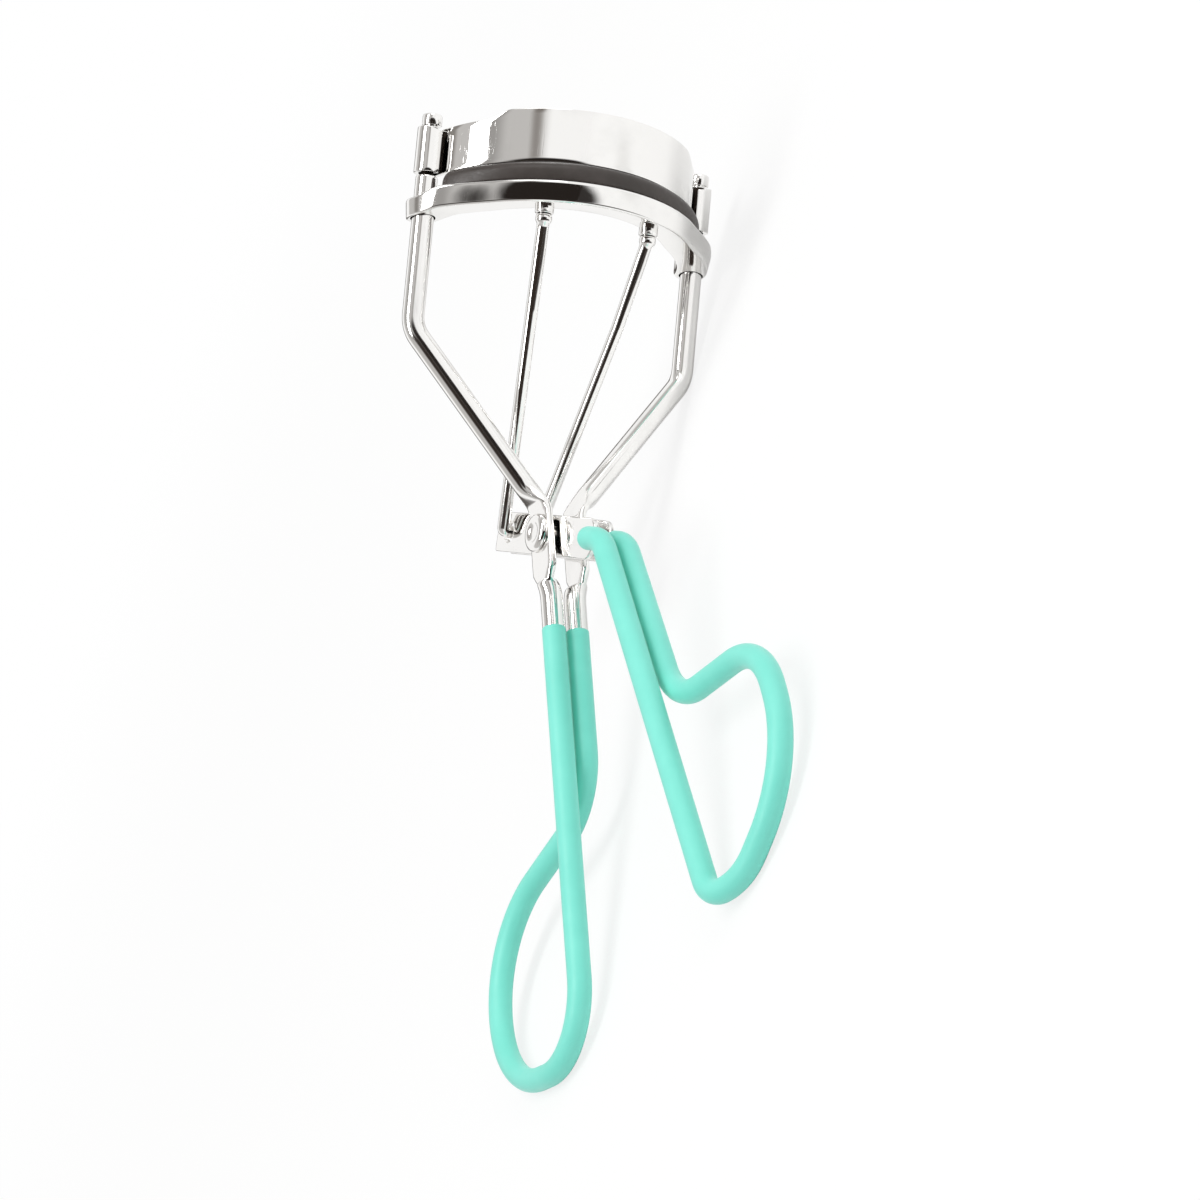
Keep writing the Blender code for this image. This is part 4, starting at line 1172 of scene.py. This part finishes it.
class CURLER_OT_studio(bpy.types.Operator):
    """Set the pale floor, the soft light and the camera"""

    bl_idname = "curler.studio"
    bl_label = "Studio"

    WHITE, ROOM_WHITE = (1.0, 1.0, 1.0, 1.0), (1.0, 0.998, 0.994, 1.0)
    # How far the floor shows plain white to the camera, and the room's cards to metal, in place of its own
    # shade: metres from the curler over which the share grows to all, and the share near the curler
    WHITE_REACH, WHITE_NEAR = (0.08, 0.30), 0.80
    ROOM_REACH, ROOM_NEAR = (0.06, 0.25), 0.10
    FLOOR_SHADE = 0.985
    # Name, share of the key's power, size, place and aim in metres
    SOFTBOXES = (("overhead_softbox", 1.0, (0.60, 0.14), (0.10, -0.02, 0.55), (0.0, 0.0, 0.02)),
                 ("side_softbox", 0.35, (0.35, 0.35), (0.30, 0.50, 0.30), (0.0, 0.02, 0.02)))
    # The photograph's camera in tool axes: its right and up, and its place from the rivet in its own axes
    CAMERA_RIGHT, CAMERA_UP = Vector((0.8739, 0.0897, 0.4777)), Vector((-0.1486, 0.9851, 0.0870))
    CAMERA_ASIDE, CAMERA_BELOW, CAMERA_AWAY = 4.590 * MM, 7.039 * MM, 453.5 * MM
    SENSOR, CLIP = 36.0, (0.01, 10.0)

    def card(self, n, bearing, height, middle, half, rise, half_rise, soft):
        """How much a soft-edged oval card covers at a bearing and a height."""
        aside = n.math("WRAP", n.math("SUBTRACT", bearing, radians(middle)), pi, -pi)
        above = n.math("SUBTRACT", height, radians(rise))
        aside, above = n.math("DIVIDE", aside, radians(half)), n.math("DIVIDE", above, radians(half_rise))
        reach = n.math("ADD", n.math("POWER", aside, 2.0), n.math("POWER", above, 2.0))
        return n.span(n.math("SQRT", reach), 1.0 - soft, 1.0 + soft, 1.0, 0.0)

    def room(self, n, context, way):
        """What metal mirrors along a way: a white room hung with grey and dark cards."""
        level = ToolLayout(context.scene).lying().inverted()
        held = n.add("ShaderNodeMapping", {"vector_type": "NORMAL"}, Vector=way, Rotation=level.to_euler())
        across, along, ahead = n.add("ShaderNodeSeparateXYZ", Vector=held.outputs[0]).outputs
        bearing = n.math("ARCTAN2", across, ahead)
        height = n.math("ARCSINE", along)
        room = self.ROOM_WHITE
        for tone, card in ROOM_CARDS:
            room = n.blend(self.card(n, bearing, height, *card), room, opaque(tone))
        return room

    def shown(self, path):
        """The two outputs of a Light Path for what the camera sees, straight or through glass."""
        return path.outputs["Is Camera Ray"], path.outputs["Is Transmission Ray"]

    def floor(self, context):
        """A matt floor that shows white round the curler's shadow, and the room's cards to metal."""
        studio, finish = context.scene.curler_studio, context.scene.curler_finish
        bpy.ops.object.select_all(action="DESELECT")
        bpy.ops.mesh.primitive_circle_add(vertices=96, radius=studio.floor_reach, fill_type="NGON")
        floor = added("studio_floor")
        material, n, shader, place = new_material("pale_floor")
        away = n.add("ShaderNodeVectorMath", {"operation": "LENGTH"}, Vector=place).outputs["Value"]
        grain = n.noise(place, scale=60.0, detail=4.0, roughness=0.6)
        n.feed(shader.inputs["Base Color"], n.blend(grain, opaque(finish.floor),
                                                    opaque(finish.floor, self.FLOOR_SHADE)))
        shader.inputs["Roughness"].default_value = 0.7
        shader.inputs["Specular IOR Level"].default_value = 0.1
        path = n.add("ShaderNodeLightPath")
        glossy = path.outputs["Is Glossy Ray"]
        seen = n.math("MAXIMUM", *self.shown(path))
        seen = n.math("MULTIPLY", seen, n.span(away, *self.WHITE_REACH, self.WHITE_NEAR))
        tool = ToolLayout(context.scene)
        jaw_front = tool.lying() @ tool.on_bar(tool.jaw.bar_radius, 0.0, tool.jaw.bar_low)
        way = n.in_order("ShaderNodeVectorMath", {"operation": "SUBTRACT"}, place, jaw_front)
        room = self.room(n, context, way)
        dark = n.math("SUBTRACT", 1.0, n.add("ShaderNodeRGBToBW", Color=room).outputs[0])
        mirrored = n.math("MAXIMUM", n.span(away, *self.ROOM_REACH, self.ROOM_NEAR), dark)
        seen = n.math("MAXIMUM", seen, n.math("MULTIPLY", glossy, mirrored))
        glow = n.add("ShaderNodeEmission", Color=n.blend(glossy, self.WHITE, room), Strength=1.0)
        joined = n.in_order("ShaderNodeMixShader", {}, seen, shader.outputs[0], glow.outputs[0])
        n.feed(material.node_tree.nodes["Material Output"].inputs["Surface"], joined)
        floor.data.materials.append(material)

    def world(self, context):
        """White for the camera, even fill for matt surfaces, and the room for metal."""
        world = bpy.data.worlds.new("studio_room")
        context.scene.world = world
        world.use_nodes = True
        n = Nodes(world.node_tree)
        room = self.room(n, context, n.add("ShaderNodeTexCoord").outputs["Generated"])
        path = n.add("ShaderNodeLightPath")
        fill = context.scene.curler_studio.fill
        light = n.blend(path.outputs["Is Glossy Ray"], (fill, fill, fill, 1.0), room)
        light = n.blend(n.math("MAXIMUM", *self.shown(path)), light, self.WHITE)
        sky = world.node_tree.nodes["Background"]
        n.feed(sky.inputs["Color"], light)
        sky.inputs["Strength"].default_value = 1.0

    def softbox(self, name, power, size, spot, aim):
        bpy.ops.object.select_all(action="DESELECT")
        bpy.ops.object.light_add(type="AREA", location=spot)
        lamp = added(name)
        lamp.data.shape = "RECTANGLE"
        lamp.data.size, lamp.data.size_y = size
        lamp.data.energy = power
        lamp.rotation_mode = "QUATERNION"
        lamp.rotation_quaternion = (Vector(aim) - Vector(spot)).to_track_quat("-Z", "Y")

    def camera(self, context):
        """The photograph's camera, placed in tool axes and carried to the frame's axes."""
        tool = ToolLayout(context.scene)
        right = self.CAMERA_RIGHT.normalized()
        up = (self.CAMERA_UP - self.CAMERA_UP.dot(right) * right).normalized()
        back = right.cross(up)
        stand = Matrix((right, up, back)).transposed().to_4x4()
        stand.translation = (tool.pivot + self.CAMERA_ASIDE * right - self.CAMERA_BELOW * up
                             + self.CAMERA_AWAY * back)
        bpy.ops.object.camera_add()
        camera = added("photo_camera")
        camera.matrix_world = tool.lying() @ stand
        camera.data.sensor_width = self.SENSOR
        camera.data.lens = context.scene.curler_studio.lens
        camera.data.clip_start, camera.data.clip_end = self.CLIP
        context.scene.camera = camera

    def execute(self, context):
        context.scene.view_settings.view_transform = "Standard"
        self.floor(context)
        self.world(context)
        for name, power, *placing in self.SOFTBOXES:
            self.softbox(name, power * context.scene.curler_studio.key_power, *placing)
        self.camera(context)
        return {"FINISHED"}


class CURLER_PT_sidebar(bpy.types.Panel):
    """The curler's sizes, finishes and steps"""

    bl_idname = "CURLER_PT_sidebar"
    bl_label = "Eyelash Curler"
    bl_space_type = "VIEW_3D"
    bl_region_type = "UI"
    bl_category = "Curler"

    def draw(self, context):
        layout = self.layout
        for step in STEPS:
            layout.operator(step.bl_idname)
        for name in GROUPS:
            box = layout.box()
            group = getattr(context.scene, name)
            for key in group.__annotations__:
                box.prop(group, key)


STEPS = (CURLER_OT_frame_wire, CURLER_OT_upper_jaw, CURLER_OT_lower_jaw, CURLER_OT_lash_pad,
         CURLER_OT_push_rods, CURLER_OT_lever_plates, CURLER_OT_pivot_rivet, CURLER_OT_handle_loops,
         CURLER_OT_studio)


def register():
    for group in (*GROUPS.values(), *STEPS, CURLER_PT_sidebar):
        bpy.utils.register_class(group)
    for name, group in GROUPS.items():
        setattr(bpy.types.Scene, name, PointerProperty(type=group))


def unregister():
    for name in GROUPS:
        delattr(bpy.types.Scene, name)
    for group in reversed((*GROUPS.values(), *STEPS, CURLER_PT_sidebar)):
        bpy.utils.unregister_class(group)


def main():
    register()
    bpy.ops.curler.frame_wire()
    bpy.ops.curler.upper_jaw()
    bpy.ops.curler.lower_jaw()
    bpy.ops.curler.lash_pad()
    bpy.ops.curler.push_rods()
    bpy.ops.curler.lever_plates()
    bpy.ops.curler.pivot_rivet()
    bpy.ops.curler.handle_loops()
    bpy.ops.curler.studio()


if __name__ == "__main__":
    main()
